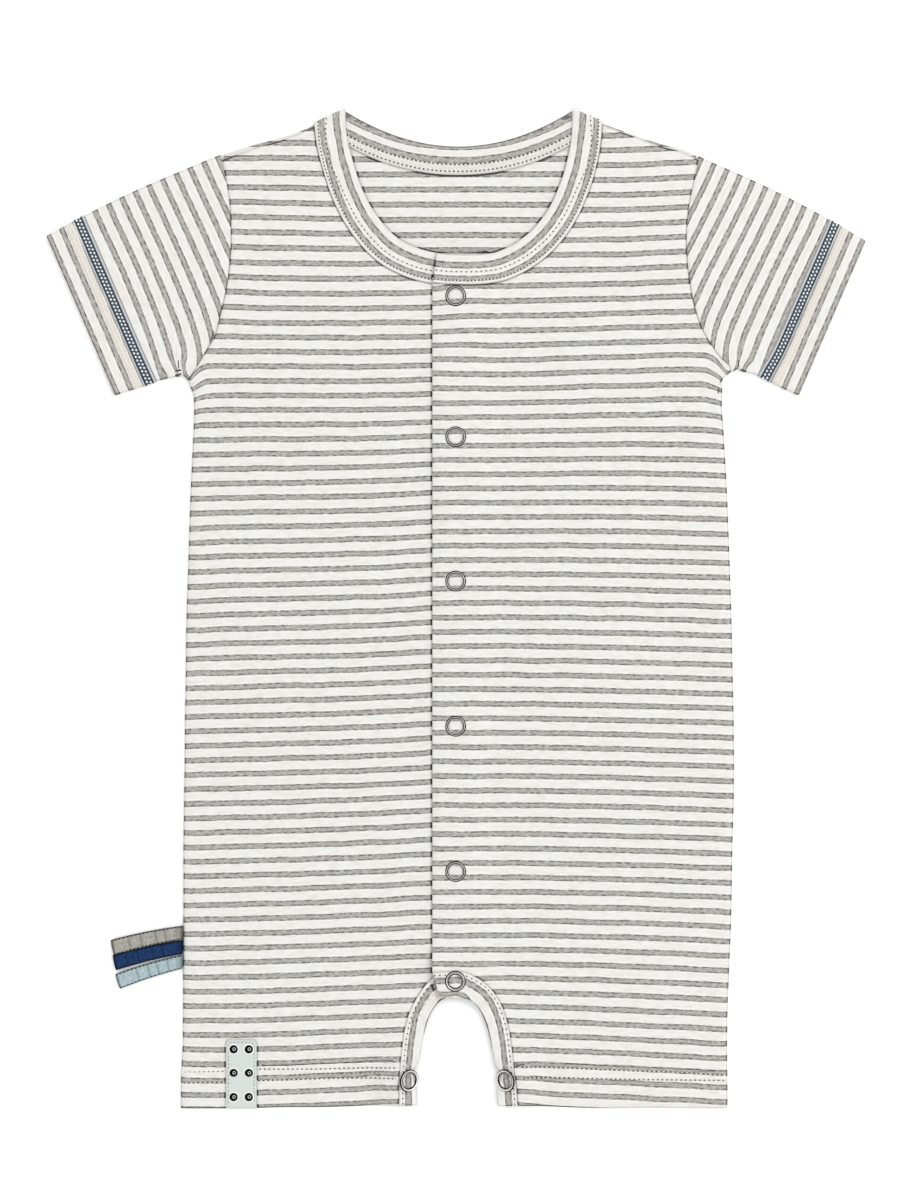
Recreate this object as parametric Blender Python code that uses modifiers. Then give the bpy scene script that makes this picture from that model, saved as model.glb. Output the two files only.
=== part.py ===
"""Baby romper with short sleeves and short legs, laid flat on its back.

The garment lies in the XY plane with its neck towards +Y, and its wearer's left is at +X.
Each cut piece is a wall of cloth of its own. The back lies on the surface at Z = 0, and the
fronts lie on it. The wearer's left front laps over the right one, and press studs close the
placket, the crotch and the two leg ends.
"""

import math

import bmesh
import bpy
from mathutils import Matrix, Vector

MM = 0.001

# Driving dimensions
JERSEY_WALL = 1.0 * MM
BAND_WALL = 1.6 * MM
SEAM_GAP = 0.3 * MM
FOLD_CLEARANCE = 0.02 * MM

HEM_Y = -229.5 * MM
UNDERARM = Vector((123.2, 107.3)) * MM
SHOULDER_TIP = Vector((107.8, 209.6)) * MM
CUFF_TOP = Vector((188.6, 171.6)) * MM
CUFF_BOTTOM = Vector((156.6, 98.6)) * MM
FRONT_SHOULDER_DROP = 3.0 * MM

NECK_OUTER_HALF_WIDTH = 67.0 * MM
NECK_OUTER_TOP_Y = 223.7 * MM
NECK_OUTER_BOTTOM_Y = 149.4 * MM
NECK_INNER_HALF_WIDTH = 52.2 * MM
NECK_INNER_TOP_Y = 229.7 * MM
NECK_INNER_BOTTOM_Y = 163.2 * MM
NECK_FULLNESS = 2.15
BACK_SEAM_CENTRE_Y = 200.3 * MM
BACK_SEAM_FULLNESS = 2.1
BACK_EDGE_CENTRE_Y = 213.4 * MM
BACK_EDGE_FULLNESS = 2.4

ARCH_OUTER_HALF_WIDTH = 27.4 * MM
ARCH_OUTER_TOP_Y = -165.1 * MM
ARCH_OUTER_FULLNESS = 2.75
ARCH_INNER_HALF_WIDTH = 18.7 * MM
ARCH_INNER_TOP_Y = -178.0 * MM
ARCH_INNER_FULLNESS = 2.5

OVERLAP_EDGE_X = -11.6 * MM
UNDERLAP_EDGE_X = -9.0 * MM
PLACKET_WIDTH = 20.9 * MM
PLACKET_RAMP = 6.5 * MM

# Heights of the underside of each ply
BACK_Z = 0.0
UNDER_PLY_Z = 1.3 * MM
ARCH_BAND_Z = 1.9 * MM
SHOULDER_BAND_Z = 1.9 * MM
OVER_PLY_Z = 3.7 * MM
OVER_NECKBAND_Z = 3.4 * MM
OVER_CROTCH_Z = 4.9 * MM
CROSSING_START_ANGLE = 48
CROSSING_END_ANGLE = 74
UNDER_PLY_LIFT_END = 40

# Press studs: an open ring on the outside and its closed half between the plies
STUD_RADIUS = 4.7 * MM
STUD_HOLE_RADIUS = 2.8 * MM
STUD_HEIGHT = 1.0 * MM
STUD_STEPS = 20
STUD_HALF_RADIUS = 3.0 * MM
STUD_HALF_HEIGHT = 0.8 * MM
PLACKET_STUD_X = -1.3 * MM
PLACKET_STUD_YS = tuple(y * MM for y in (144.3, 79.6, 13.3, -53.4, -120.1))
CROTCH_STUD_Y = -170.9 * MM
LEG_STUD_X = 22.7 * MM
LEG_STUD_Y = -216.3 * MM
LEG_STUD_TILT = math.radians(15)
LEG_STUD_LIFT = 1.1 * MM
LEG_STUD_REACH = 13.0 * MM

# Side seam from hem to underarm
SIDE_SEAM = (
    # y, half width
    (-229.5, 125.8),
    (-170.0, 126.6),
    (-110.0, 127.0),
    (-50.0, 126.4),
    (0.0, 125.2),
    (50.0, 123.2),
    (90.0, 121.2),
    (99.0, 121.0),
    (107.3, 123.2),
)

# Armhole seam: Bezier handles between the shoulder tip and the underarm
ARMHOLE_UPPER_HANDLE = Vector((101.6, 170.0)) * MM
ARMHOLE_LOWER_HANDLE = Vector((103.6, 137.0)) * MM

# Cuts across a body panel, from its inner edge to its outer edge. angle: degrees round the arch
# from the hem, or round the neckline from the centre. y: height up the centre line. outer: 0 at
# the hem, 1 at the underarm and 2 at the shoulder tip. bow: how soon the cut turns to its outer end.
ARCH_CUTS = (
    # angle, outer, bow
    (0, 0.00, 1.0),
    (6, 0.04, 1.0),
    (14, 0.07, 1.0),
    (28, 0.11, 1.0),
    (48, 0.15, 1.0),
    (66, 0.18, 1.2),
    (78, 0.21, 1.5),
    (90, 0.24, 2.0),
)
CENTRE_CUTS = (
    # y, outer, bow
    (-120, 0.38, 1.6),
    (-60, 0.52, 1.0),
    (0, 0.68, 1.0),
    (60, 0.84, 1.0),
    (110, 0.95, 1.4),
)
FRONT_NECK_CUTS = (
    # angle, outer, bow
    (0, 1.08, 2.2),
    (10, 1.16, 2.0),
    (18, 1.25, 1.8),
    (30, 1.36, 1.5),
    (42, 1.50, 1.3),
    (56, 1.64, 1.1),
    (70, 1.77, 1.0),
    (80, 1.89, 1.0),
    (90, 2.00, 1.0),
)
LAPPED_NECK_ANGLE = 10
SHOULDER_NECK_ANGLE = 80
BACK_YOKE_CUTS = (
    # y on the centre line, outer
    (124, 1.00),
    (138, 1.08),
    (151, 1.16),
    (166, 1.25),
)
BACK_NECK_CUTS = (
    # share of the way from the centre back to the shoulder, outer
    (0.00, 1.36),
    (0.25, 1.50),
    (0.50, 1.64),
    (0.70, 1.77),
    (0.85, 1.89),
    (1.00, 2.00),
)
CROTCH_CORNER = (0.27, 2.4)
NECK_CORNER = (1.00, 2.4)

# Ribbon loops in the right side seam
RIBBON_WIDTH = 5.9 * MM
RIBBON_LOOPS = (
    # colour name, y at the seam, length, droop in degrees, colour
    ("taupe", -148.4, 32.6, 11.5, "A5A19B"),
    ("navy", -155.0, 31.0, 13.5, "2F4570"),
    ("pale_blue", -161.9, 30.2, 17.0, "AEBFC4"),
)
RIBBON_FOLD_RADIUS = 0.65 * MM
RIBBON_FOLD_STEPS = 4

PATCH_LEFT_X = -107.0 * MM
PATCH_WIDTH = 14.2 * MM
PATCH_TOP_Y = -197.7 * MM
PATCH_CORNER = 2.0 * MM
DOT_RADIUS = 1.8 * MM
DOT_HEIGHT = 0.7 * MM
DOT_COLUMN_SPREAD = 7.0 * MM
DOT_ROW_YS = tuple(y * MM for y in (-202.0, -212.9, -223.9))

COLLECTION = bpy.data.collections.new("baby_romper")


def clear_scene():
    for old in list(bpy.data.objects):
        bpy.data.objects.remove(old, do_unlink=True)
    bpy.context.scene.collection.children.link(COLLECTION)


def material(name, colour, roughness, metallic=0.0):
    """Principled material from an sRGB hex colour."""
    made = bpy.data.materials.new(name)
    made.use_nodes = True
    shader = made.node_tree.nodes["Principled BSDF"]
    channels = (int(colour[i:i + 2], 16) / 255 for i in (0, 2, 4))
    linear = [c / 12.92 if c <= 0.04045 else ((c + 0.055) / 1.055) ** 2.4 for c in channels]
    shader.inputs["Base Color"].default_value = (*linear, 1.0)
    shader.inputs["Roughness"].default_value = roughness
    shader.inputs["Metallic"].default_value = metallic
    return made


def add_object(name, bm, finish):
    """Turn a bmesh into an object in the romper's collection."""
    mesh = bpy.data.meshes.new(name)
    bm.to_mesh(mesh)
    bm.free()
    mesh.materials.append(finish)
    piece = bpy.data.objects.new(name, mesh)
    COLLECTION.objects.link(piece)
    return piece


def add_wall(piece, thickness, offset=1.0):
    """Give an open surface its thickness of cloth."""
    solidify = piece.modifiers.new("cloth wall", "SOLIDIFY")
    solidify.thickness = thickness
    solidify.offset = offset
    solidify.use_even_offset = True
    return solidify


def sheet(name, across, along, place, thickness, finish, offset=1.0):
    """Cloth through across x along points, each where place(i, j) puts it, its face up."""
    bm = bmesh.new()
    bmesh.ops.create_grid(bm, x_segments=across - 1, y_segments=along - 1, size=0.5)
    for vertex in bm.verts:
        i = round((vertex.co.x + 0.5) * (across - 1))
        j = round((vertex.co.y + 0.5) * (along - 1))
        vertex.co = place(i, j)
    bmesh.ops.remove_doubles(bm, verts=bm.verts, dist=0.01 * MM)
    bm.normal_update()
    if sum(face.normal.z * face.calc_area() for face in bm.faces) < 0:
        bmesh.ops.reverse_faces(bm, faces=bm.faces)
    piece = add_object(name, bm, finish)
    add_wall(piece, thickness, offset)
    return piece


def signed_power(value, exponent):
    return math.copysign(abs(value) ** exponent, value)


def curve_on_arch(angle, inset=0.0):
    """Outer edge of the inseam band: 0 degrees at the hem, 90 at the crotch."""
    exponent = 2 / ARCH_OUTER_FULLNESS
    x = (ARCH_OUTER_HALF_WIDTH - inset) * signed_power(math.cos(math.radians(angle)), exponent)
    rise = ARCH_OUTER_TOP_Y - inset - HEM_Y
    return Vector((x, HEM_Y + rise * math.sin(math.radians(angle)) ** exponent))


def curve_inside_arch(angle):
    """Free inner edge of the inseam band."""
    exponent = 2 / ARCH_INNER_FULLNESS
    x = ARCH_INNER_HALF_WIDTH * signed_power(math.cos(math.radians(angle)), exponent)
    rise = ARCH_INNER_TOP_Y - HEM_Y
    return Vector((x, HEM_Y + rise * math.sin(math.radians(angle)) ** exponent))


def arch_angle_at(x, half_width, fullness):
    """Angle round an arch edge at which it stands at x."""
    return math.degrees(math.acos(signed_power(x / half_width, fullness / 2)))


def curve_on_neck(angle, half_width, top_y, bottom_y):
    """Neckline edge: 0 degrees at the centre front, 90 at the shoulder."""
    exponent = 2 / NECK_FULLNESS
    x = half_width * signed_power(math.sin(math.radians(angle)), exponent)
    return Vector((x, top_y - (top_y - bottom_y) * math.cos(math.radians(angle)) ** exponent))


def neck_angle_at(x, half_width):
    return math.degrees(math.asin(signed_power(x / half_width, NECK_FULLNESS / 2)))


def neck_seam(angle, inset=0.0):
    """Seam of the neckband to the fronts, moved in by inset for the band's own edge."""
    return curve_on_neck(angle, NECK_OUTER_HALF_WIDTH - inset, NECK_OUTER_TOP_Y,
                         NECK_OUTER_BOTTOM_Y + inset)


def neck_free_edge(angle):
    return curve_on_neck(angle, NECK_INNER_HALF_WIDTH, NECK_INNER_TOP_Y, NECK_INNER_BOTTOM_Y)


def back_neck_seam(share, inset=0.0):
    """Seam of the back neckband: share runs from 0 at the centre back to 1 at the shoulder."""
    rise = NECK_OUTER_TOP_Y - BACK_SEAM_CENTRE_Y
    return Vector((NECK_OUTER_HALF_WIDTH * share,
                   BACK_SEAM_CENTRE_Y - inset + rise * abs(share) ** BACK_SEAM_FULLNESS))


def back_neck_free_edge(share):
    rise = NECK_INNER_TOP_Y - BACK_EDGE_CENTRE_Y
    return Vector((NECK_INNER_HALF_WIDTH * share,
                   BACK_EDGE_CENTRE_Y + rise * abs(share) ** BACK_EDGE_FULLNESS))


def armhole(share):
    """Armhole seam from the shoulder tip, share 0, to the underarm, share 1."""
    rest = 1 - share
    return (SHOULDER_TIP * rest ** 3 + ARMHOLE_UPPER_HANDLE * 3 * rest ** 2 * share
            + ARMHOLE_LOWER_HANDLE * 3 * rest * share ** 2 + UNDERARM * share ** 3)


def side_seam(share):
    """Side seam from the hem, share 0, to the underarm, share 1."""
    y = HEM_Y / MM + share * (UNDERARM.y - HEM_Y) / MM
    for (low_y, low_x), (high_y, high_x) in zip(SIDE_SEAM, SIDE_SEAM[1:]):
        if y <= high_y:
            blend = max(0.0, (y - low_y) / (high_y - low_y))
            return Vector((low_x + (high_x - low_x) * blend, y)) * MM
    return UNDERARM.copy()


def outer_edge(position):
    """Outer edge of a body panel: hem 0, underarm 1, shoulder tip 2."""
    if position <= 1:
        return side_seam(position)
    return armhole(2 - position) - Vector((SEAM_GAP, 0))


def leg_stud_lift(y):
    """How far the fastened leg stud lifts the front band off the back one."""
    return LEG_STUD_LIFT * math.exp(-((y - LEG_STUD_Y) / LEG_STUD_REACH) ** 2)


def leg_stud_slope(y):
    """Rise across the front inseam band, from its free edge to its seam, at height y."""
    width = ARCH_OUTER_HALF_WIDTH - ARCH_INNER_HALF_WIDTH
    reach = math.exp(-((y - LEG_STUD_Y) / LEG_STUD_REACH) ** 2)
    return width * math.tan(LEG_STUD_TILT) * reach


def inseam_free_z(angle, laps_over):
    """Height of the front inseam band's free edge."""
    y = curve_inside_arch(min(angle, 90)).y
    share = (angle - CROSSING_START_ANGLE) / (CROSSING_END_ANGLE - CROSSING_START_ANGLE)
    crossing = min(1.0, max(0.0, share)) if laps_over else 0.0
    return ARCH_BAND_Z + leg_stud_lift(y) + crossing * (OVER_CROTCH_Z - ARCH_BAND_Z)


def inseam_seam_z(angle, laps_over):
    """Height of the front inseam band's seam, where the front meets it."""
    y = curve_on_arch(min(angle, 90)).y
    return inseam_free_z(angle, laps_over) + leg_stud_slope(y)


def front_cuts(laps_over):
    """Cuts across a front from hem to shoulder: inner end, outer end, bow and inner height."""
    edge_x = OVERLAP_EDGE_X if laps_over else UNDERLAP_EDGE_X
    ply_z = OVER_PLY_Z if laps_over else UNDER_PLY_Z
    cuts = []
    for angle, outer, bow in ARCH_CUTS:
        lifted = laps_over or angle < UNDER_PLY_LIFT_END
        inner_z = inseam_seam_z(angle, laps_over) if lifted else UNDER_PLY_Z
        cuts.append((curve_on_arch(angle), outer_edge(outer), bow, inner_z))
    corner_angle = arch_angle_at(edge_x, ARCH_OUTER_HALF_WIDTH, ARCH_OUTER_FULLNESS)
    outer, bow = CROTCH_CORNER
    crotch_z = OVER_CROTCH_Z if laps_over else UNDER_PLY_Z
    cuts.append((curve_on_arch(corner_angle), outer_edge(outer), bow, crotch_z))
    for y, outer, bow in CENTRE_CUTS:
        cuts.append((Vector((edge_x, y * MM)), outer_edge(outer), bow, ply_z))
    corner_angle = neck_angle_at(edge_x, NECK_OUTER_HALF_WIDTH)
    outer, bow = NECK_CORNER
    cuts.append((neck_seam(corner_angle), outer_edge(outer), bow, ply_z))
    for angle, outer, bow in FRONT_NECK_CUTS:
        inner_z = ply_z if angle <= LAPPED_NECK_ANGLE else UNDER_PLY_Z
        cuts.append((neck_seam(angle), outer_edge(outer), bow, inner_z))
    shoulder_inner, shoulder_outer, bow, inner_z = cuts[-1]
    drop = Vector((0, FRONT_SHOULDER_DROP))
    cuts[-1] = (shoulder_inner - drop / 5, shoulder_outer - drop, bow, inner_z)
    return cuts


def make_front(name, side, laps_over, finish):
    """Front panel with its placket overlap; side is 1 for the wearer's left."""
    cuts = front_cuts(laps_over)
    edge_x = OVERLAP_EDGE_X if laps_over else UNDERLAP_EDGE_X
    ply_z = OVER_PLY_Z if laps_over else UNDER_PLY_Z
    lap_end_x = edge_x + PLACKET_WIDTH

    def place(i, j):
        inner, outer, bow, inner_z = cuts[j]
        span = outer.x - inner.x
        on_lap = inner.x < lap_end_x - PLACKET_RAMP
        fall = lap_end_x - inner.x if on_lap else min(PLACKET_WIDTH, 0.45 * span)
        foot = min(fall + PLACKET_RAMP, 0.62 * span)
        runs = (0.0, fall, foot, *(foot + (span - foot) * k / 4 for k in (1, 2, 3, 4)))
        share = runs[i] / span
        y = inner.y + (outer.y - inner.y) * (1 - (1 - share) ** bow)
        z = (inner_z, ply_z if on_lap else UNDER_PLY_Z, UNDER_PLY_Z)[min(i, 2)]
        return Vector((side * (inner.x + runs[i]), y, z))

    return sheet(name, 7, len(cuts), place, JERSEY_WALL, finish)


def make_back(finish):
    """Back panel: one half, open at the centre line, and its mirror image."""
    cuts = []
    for angle, outer, bow in ARCH_CUTS:
        cuts.append((curve_on_arch(angle), outer_edge(outer), bow))
    for y, outer, bow in CENTRE_CUTS:
        cuts.append((Vector((0, y * MM)), outer_edge(outer), 1.0))
    for y, outer in BACK_YOKE_CUTS:
        cuts.append((Vector((0, y * MM)), outer_edge(outer), 1.0))
    for share, outer in BACK_NECK_CUTS:
        cuts.append((back_neck_seam(share, SEAM_GAP), outer_edge(outer), 1.0))

    def place(i, j):
        inner, outer, bow = cuts[j]
        share = i / 4
        y = inner.y + (outer.y - inner.y) * (1 - (1 - share) ** bow)
        return Vector((inner.x + (outer.x - inner.x) * share, y, BACK_Z))

    piece = sheet("back_panel", 5, len(cuts), place, JERSEY_WALL, finish)
    piece.modifiers.remove(piece.modifiers["cloth wall"])
    mirror = piece.modifiers.new("other half", "MIRROR")
    mirror.merge_threshold = 0.01 * MM
    add_wall(piece, JERSEY_WALL)
    return piece


def make_sleeve(name, side, finish):
    """Flattened sleeve tube, folded along its top and sewn along the underarm."""
    shares = [0.0] + [2 - outer for _, outer, _ in reversed(FRONT_NECK_CUTS[:-1])] + [1.0]
    stations = (0.0, 0.3, 0.65, 1.0)
    ply_centre = JERSEY_WALL / 2 + FOLD_CLEARANCE
    fold_radius = (UNDER_PLY_Z - BACK_Z) / 2
    fold_steps = 4
    top_bow = 2.0 * MM

    def ring_position(i):
        """Share down the sleeve, overhang past its edge, and height of ring point i."""
        flat = len(shares) - 1
        i = i % (2 * flat + 2 * fold_steps)
        if i <= flat:
            return shares[i], 0.0, ply_centre
        if i < flat + fold_steps:
            turn = math.pi * (i - flat) / fold_steps
            return 1.0, fold_radius * math.sin(turn), ply_centre + fold_radius * (1 - math.cos(turn))
        if i <= 2 * flat + fold_steps:
            return shares[2 * flat + fold_steps - i], 0.0, ply_centre + 2 * fold_radius
        turn = math.pi * (i - 2 * flat - fold_steps) / fold_steps
        return 0.0, -fold_radius * math.sin(turn), ply_centre + fold_radius * (1 + math.cos(turn))

    def place(i, j):
        share, overhang, z = ring_position(i)
        station = stations[j]
        inner = armhole(share)
        outer = CUFF_TOP.lerp(CUFF_BOTTOM, share)
        point = inner.lerp(outer, station)
        point.y += top_bow * 4 * station * (1 - station) * (1 - share) ** 2
        down = (armhole(1.0).lerp(CUFF_BOTTOM, station) - armhole(0.0).lerp(CUFF_TOP, station))
        edge_inset = fold_radius + JERSEY_WALL / 2
        inward = edge_inset * (1 - 2 * share)
        point += down.normalized() * (overhang + inward)
        return Vector((side * point.x, point.y, z))

    ring_points = 2 * (len(shares) - 1) + 2 * fold_steps + 1
    return sheet(name, ring_points, len(stations), place, JERSEY_WALL, finish, offset=0.0)


def make_band(name, side, seam_points, free_points, finish):
    """Folded strip between its seam and its free edge, both given with heights."""
    def place(i, j):
        point = (seam_points, free_points)[i][j]
        return Vector((side * point[0], point[1], point[2]))

    return sheet(name, 2, len(seam_points), place, BAND_WALL, finish)


def at_height(point, z):
    return (point.x, point.y, z)


def make_front_neckband(name, side, laps_over, finish):
    """Front length of the neckband, from its end on the placket to the shoulder."""
    edge_x = OVERLAP_EDGE_X if laps_over else UNDERLAP_EDGE_X
    seam_start = neck_angle_at(edge_x, NECK_OUTER_HALF_WIDTH)
    free_start = neck_angle_at(edge_x, NECK_INNER_HALF_WIDTH)
    end_z = OVER_NECKBAND_Z if laps_over else UNDER_PLY_Z
    seam_points = [at_height(neck_seam(seam_start, SEAM_GAP), end_z)]
    free_points = [at_height(neck_free_edge(free_start), end_z)]
    for angle, _, _ in FRONT_NECK_CUTS:
        z = end_z if angle <= LAPPED_NECK_ANGLE else UNDER_PLY_Z
        if angle >= SHOULDER_NECK_ANGLE:
            z = SHOULDER_BAND_Z
        seam_points.append(at_height(neck_seam(angle, SEAM_GAP), z))
        free_points.append(at_height(neck_free_edge(angle), z))
    return make_band(name, side, seam_points, free_points, finish)


def make_back_neckband(finish):
    """Back length of the neckband, seen from its inner side through the neck."""
    half = [share for share, _ in BACK_NECK_CUTS]
    shares = [-share for share in reversed(half[1:])] + half
    seam_points = [at_height(back_neck_seam(share), BACK_Z) for share in shares]
    free_points = [at_height(back_neck_free_edge(share), BACK_Z) for share in shares]
    return make_band("neckband_back", 1, seam_points, free_points, finish)


def make_front_inseam_band(name, side, laps_over, finish):
    """Front inseam band, from the leg end round to its end under or over the crotch."""
    edge_x = OVERLAP_EDGE_X if laps_over else UNDERLAP_EDGE_X
    seam_end = arch_angle_at(edge_x, ARCH_OUTER_HALF_WIDTH, ARCH_OUTER_FULLNESS)
    free_end = arch_angle_at(edge_x, ARCH_INNER_HALF_WIDTH, ARCH_INNER_FULLNESS)
    angles = [cut[0] for cut in ARCH_CUTS]
    seam_points = []
    free_points = []
    for angle in (*angles, None):
        seam_angle = seam_end if angle is None else angle
        free_angle = free_end if angle is None else angle
        level = 90 if angle is None else angle
        seam_points.append(at_height(curve_on_arch(seam_angle, SEAM_GAP),
                                     inseam_seam_z(level, laps_over)))
        free_points.append(at_height(curve_inside_arch(free_angle),
                                     inseam_free_z(level, laps_over)))
    return make_band(name, side, seam_points, free_points, finish)


def make_back_inseam_band(finish):
    """Back inseam band, one strip round the whole arch."""
    rising = [cut[0] for cut in ARCH_CUTS]
    angles = rising + [180 - angle for angle in reversed(rising[:-1])]
    seam_points = [at_height(curve_on_arch(angle, SEAM_GAP), BACK_Z) for angle in angles]
    free_points = [at_height(curve_inside_arch(angle), BACK_Z) for angle in angles]
    return make_band("inseam_band_back", 1, seam_points, free_points, finish)


def make_ribbon_loop(name, seam_y, length, droop, finish):
    """Ribbon doubled back on itself and caught in the side seam by both ends."""
    seam_x = -side_seam((seam_y * MM - HEM_Y) / (UNDERARM.y - HEM_Y)).x - 2 * SEAM_GAP
    wall = JERSEY_WALL
    straight = length * MM - RIBBON_FOLD_RADIUS - wall / 2
    path = [(0.0, wall / 2), (straight * 0.5, wall / 2)]
    for k in range(RIBBON_FOLD_STEPS + 1):
        turn = math.pi * k / RIBBON_FOLD_STEPS
        path.append((straight + RIBBON_FOLD_RADIUS * math.sin(turn),
                     wall / 2 + RIBBON_FOLD_RADIUS * (1 - math.cos(turn))))
    path += [(straight * 0.5, wall / 2 + 2 * RIBBON_FOLD_RADIUS),
             (0.0, wall / 2 + 2 * RIBBON_FOLD_RADIUS)]
    turn_down = math.radians(droop)

    def place(i, j):
        run, z = path[j]
        aside = (i - 0.5) * RIBBON_WIDTH
        root_x = seam_x - RIBBON_WIDTH / 2 * math.sin(turn_down)
        x = root_x - run * math.cos(turn_down) + aside * math.sin(turn_down)
        y = seam_y * MM - run * math.sin(turn_down) - aside * math.cos(turn_down)
        return Vector((x, y, z))

    return sheet(name, 2, len(path), place, wall, finish, offset=0.0)


def make_patch(finish):
    """Sewn patch over the hem of the wearer's right leg, its top corners rounded."""
    base_z = UNDER_PLY_Z + JERSEY_WALL + SEAM_GAP
    right_x = PATCH_LEFT_X + PATCH_WIDTH
    corner_steps = 4
    outline = [(PATCH_LEFT_X, HEM_Y), (right_x, HEM_Y)]
    for centre_x, start in ((right_x - PATCH_CORNER, 0.0), (PATCH_LEFT_X + PATCH_CORNER, 0.5)):
        for k in range(corner_steps + 1):
            turn = math.pi * (start + 0.5 * k / corner_steps)
            outline.append((centre_x + PATCH_CORNER * math.cos(turn),
                            PATCH_TOP_Y - PATCH_CORNER + PATCH_CORNER * math.sin(turn)))
    bm = bmesh.new()
    corners = [bm.verts.new((x, y, base_z)) for x, y in outline]
    bm.faces.new(corners)
    piece = add_object("hem_patch", bm, finish)
    add_wall(piece, JERSEY_WALL)
    return base_z + JERSEY_WALL + SEAM_GAP


def make_patch_dots(base_z, finish):
    """Six small domed dots in two columns on the patch."""
    centre_x = PATCH_LEFT_X + PATCH_WIDTH / 2
    number = 0
    for y in DOT_ROW_YS:
        for column in (-0.5, 0.5):
            number += 1
            bm = bmesh.new()
            place = Matrix.Translation((centre_x + column * DOT_COLUMN_SPREAD, y,
                                        base_z + DOT_HEIGHT / 2))
            bmesh.ops.create_cone(bm, cap_ends=True, segments=14, radius1=DOT_RADIUS,
                                  radius2=0.62 * DOT_RADIUS, depth=DOT_HEIGHT, matrix=place)
            add_object(f"patch_dot_{number}", bm, finish)


def make_stud(number, x, y, outer_z, half_z, finish, tilt=0.0):
    """Open stud ring on the top ply and its closed half between the plies."""
    rim = (
        (STUD_RADIUS, 0.0),
        (STUD_HOLE_RADIUS, 0.0),
        (STUD_HOLE_RADIUS, 0.55 * STUD_HEIGHT),
        (STUD_HOLE_RADIUS + 0.35 * MM, STUD_HEIGHT),
        (STUD_RADIUS - 0.6 * MM, STUD_HEIGHT),
        (STUD_RADIUS, 0.45 * STUD_HEIGHT),
    )
    bm = bmesh.new()
    corners = [bm.verts.new((r, 0.0, z)) for r, z in rim]
    for k, corner in enumerate(corners):
        bm.edges.new((corners[k - 1], corner))
    ring = add_object(f"stud_ring_{number}", bm, finish)
    screw = ring.modifiers.new("turned rim", "SCREW")
    screw.steps = STUD_STEPS
    screw.render_steps = STUD_STEPS
    screw.use_merge_vertices = True
    screw.merge_threshold = 0.01 * MM
    screw.use_normal_calculate = True
    ring.location = (x, y, outer_z)
    ring.rotation_euler = (0.0, tilt, 0.0)

    bm = bmesh.new()
    place = Matrix.Translation((x, y, half_z + STUD_HALF_HEIGHT / 2))
    bmesh.ops.create_cone(bm, cap_ends=True, segments=14, radius1=STUD_HALF_RADIUS,
                          radius2=STUD_HALF_RADIUS, depth=STUD_HALF_HEIGHT, matrix=place)
    add_object(f"stud_half_{number}", bm, finish)


def make_studs(finish):
    """Five studs down the placket, one at the crotch and one at each leg end."""
    number = 0
    for y in PLACKET_STUD_YS:
        number += 1
        make_stud(number, PLACKET_STUD_X, y, OVER_PLY_Z + JERSEY_WALL + SEAM_GAP,
                  UNDER_PLY_Z + JERSEY_WALL + SEAM_GAP, finish)
    number += 1
    make_stud(number, PLACKET_STUD_X, CROTCH_STUD_Y, OVER_CROTCH_Z + BAND_WALL + SEAM_GAP,
              ARCH_BAND_Z + BAND_WALL + SEAM_GAP, finish)
    band_centre_z = ARCH_BAND_Z + LEG_STUD_LIFT + leg_stud_slope(LEG_STUD_Y) / 2
    ring_z = band_centre_z + (BAND_WALL + SEAM_GAP) / math.cos(LEG_STUD_TILT) + SEAM_GAP
    for side in (-1, 1):
        number += 1
        make_stud(number, side * LEG_STUD_X, LEG_STUD_Y, ring_z, BACK_Z + BAND_WALL + SEAM_GAP,
                  finish, tilt=-side * LEG_STUD_TILT)


def main():
    clear_scene()
    jersey = material("striped_jersey", "DCD9D4", 0.9)
    band = material("striped_jersey_band", "D6D3CD", 0.9)
    metal = material("stud_metal", "AFAEA8", 0.35, 1.0)
    patch = material("patch_cloth", "D9DED9", 0.8)
    dots = material("patch_dots", "2B2D2E", 0.5)

    make_back(jersey)
    make_front("front_right_panel", -1, False, jersey)
    make_front("front_left_panel", 1, True, jersey)
    make_sleeve("sleeve_right", -1, jersey)
    make_sleeve("sleeve_left", 1, jersey)
    make_back_neckband(band)
    make_front_neckband("neckband_front_right", -1, False, band)
    make_front_neckband("neckband_front_left", 1, True, band)
    make_back_inseam_band(band)
    make_front_inseam_band("inseam_band_front_right", -1, False, band)
    make_front_inseam_band("inseam_band_front_left", 1, True, band)
    for name, seam_y, length, droop, colour in RIBBON_LOOPS:
        make_ribbon_loop(f"side_loop_{name}", seam_y, length, droop,
                         material(f"ribbon_{name}", colour, 0.6))
    dot_base_z = make_patch(patch)
    make_patch_dots(dot_base_z, dots)
    make_studs(metal)


main()
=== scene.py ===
"""Striped baby romper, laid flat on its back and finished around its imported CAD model.

Sizes are in millimetres, and add_piece turns a finished mesh to metres. The garment lies in the
XY plane with its neck towards +Y and its wearer's left at +X. side is 1 for the left, -1 for the
right. Heights are those of the upper face of the cloth, above the surface it lies on.
"""

import math

import bmesh
import bpy
from mathutils import Matrix, Vector, noise
from mathutils.kdtree import KDTree


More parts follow.
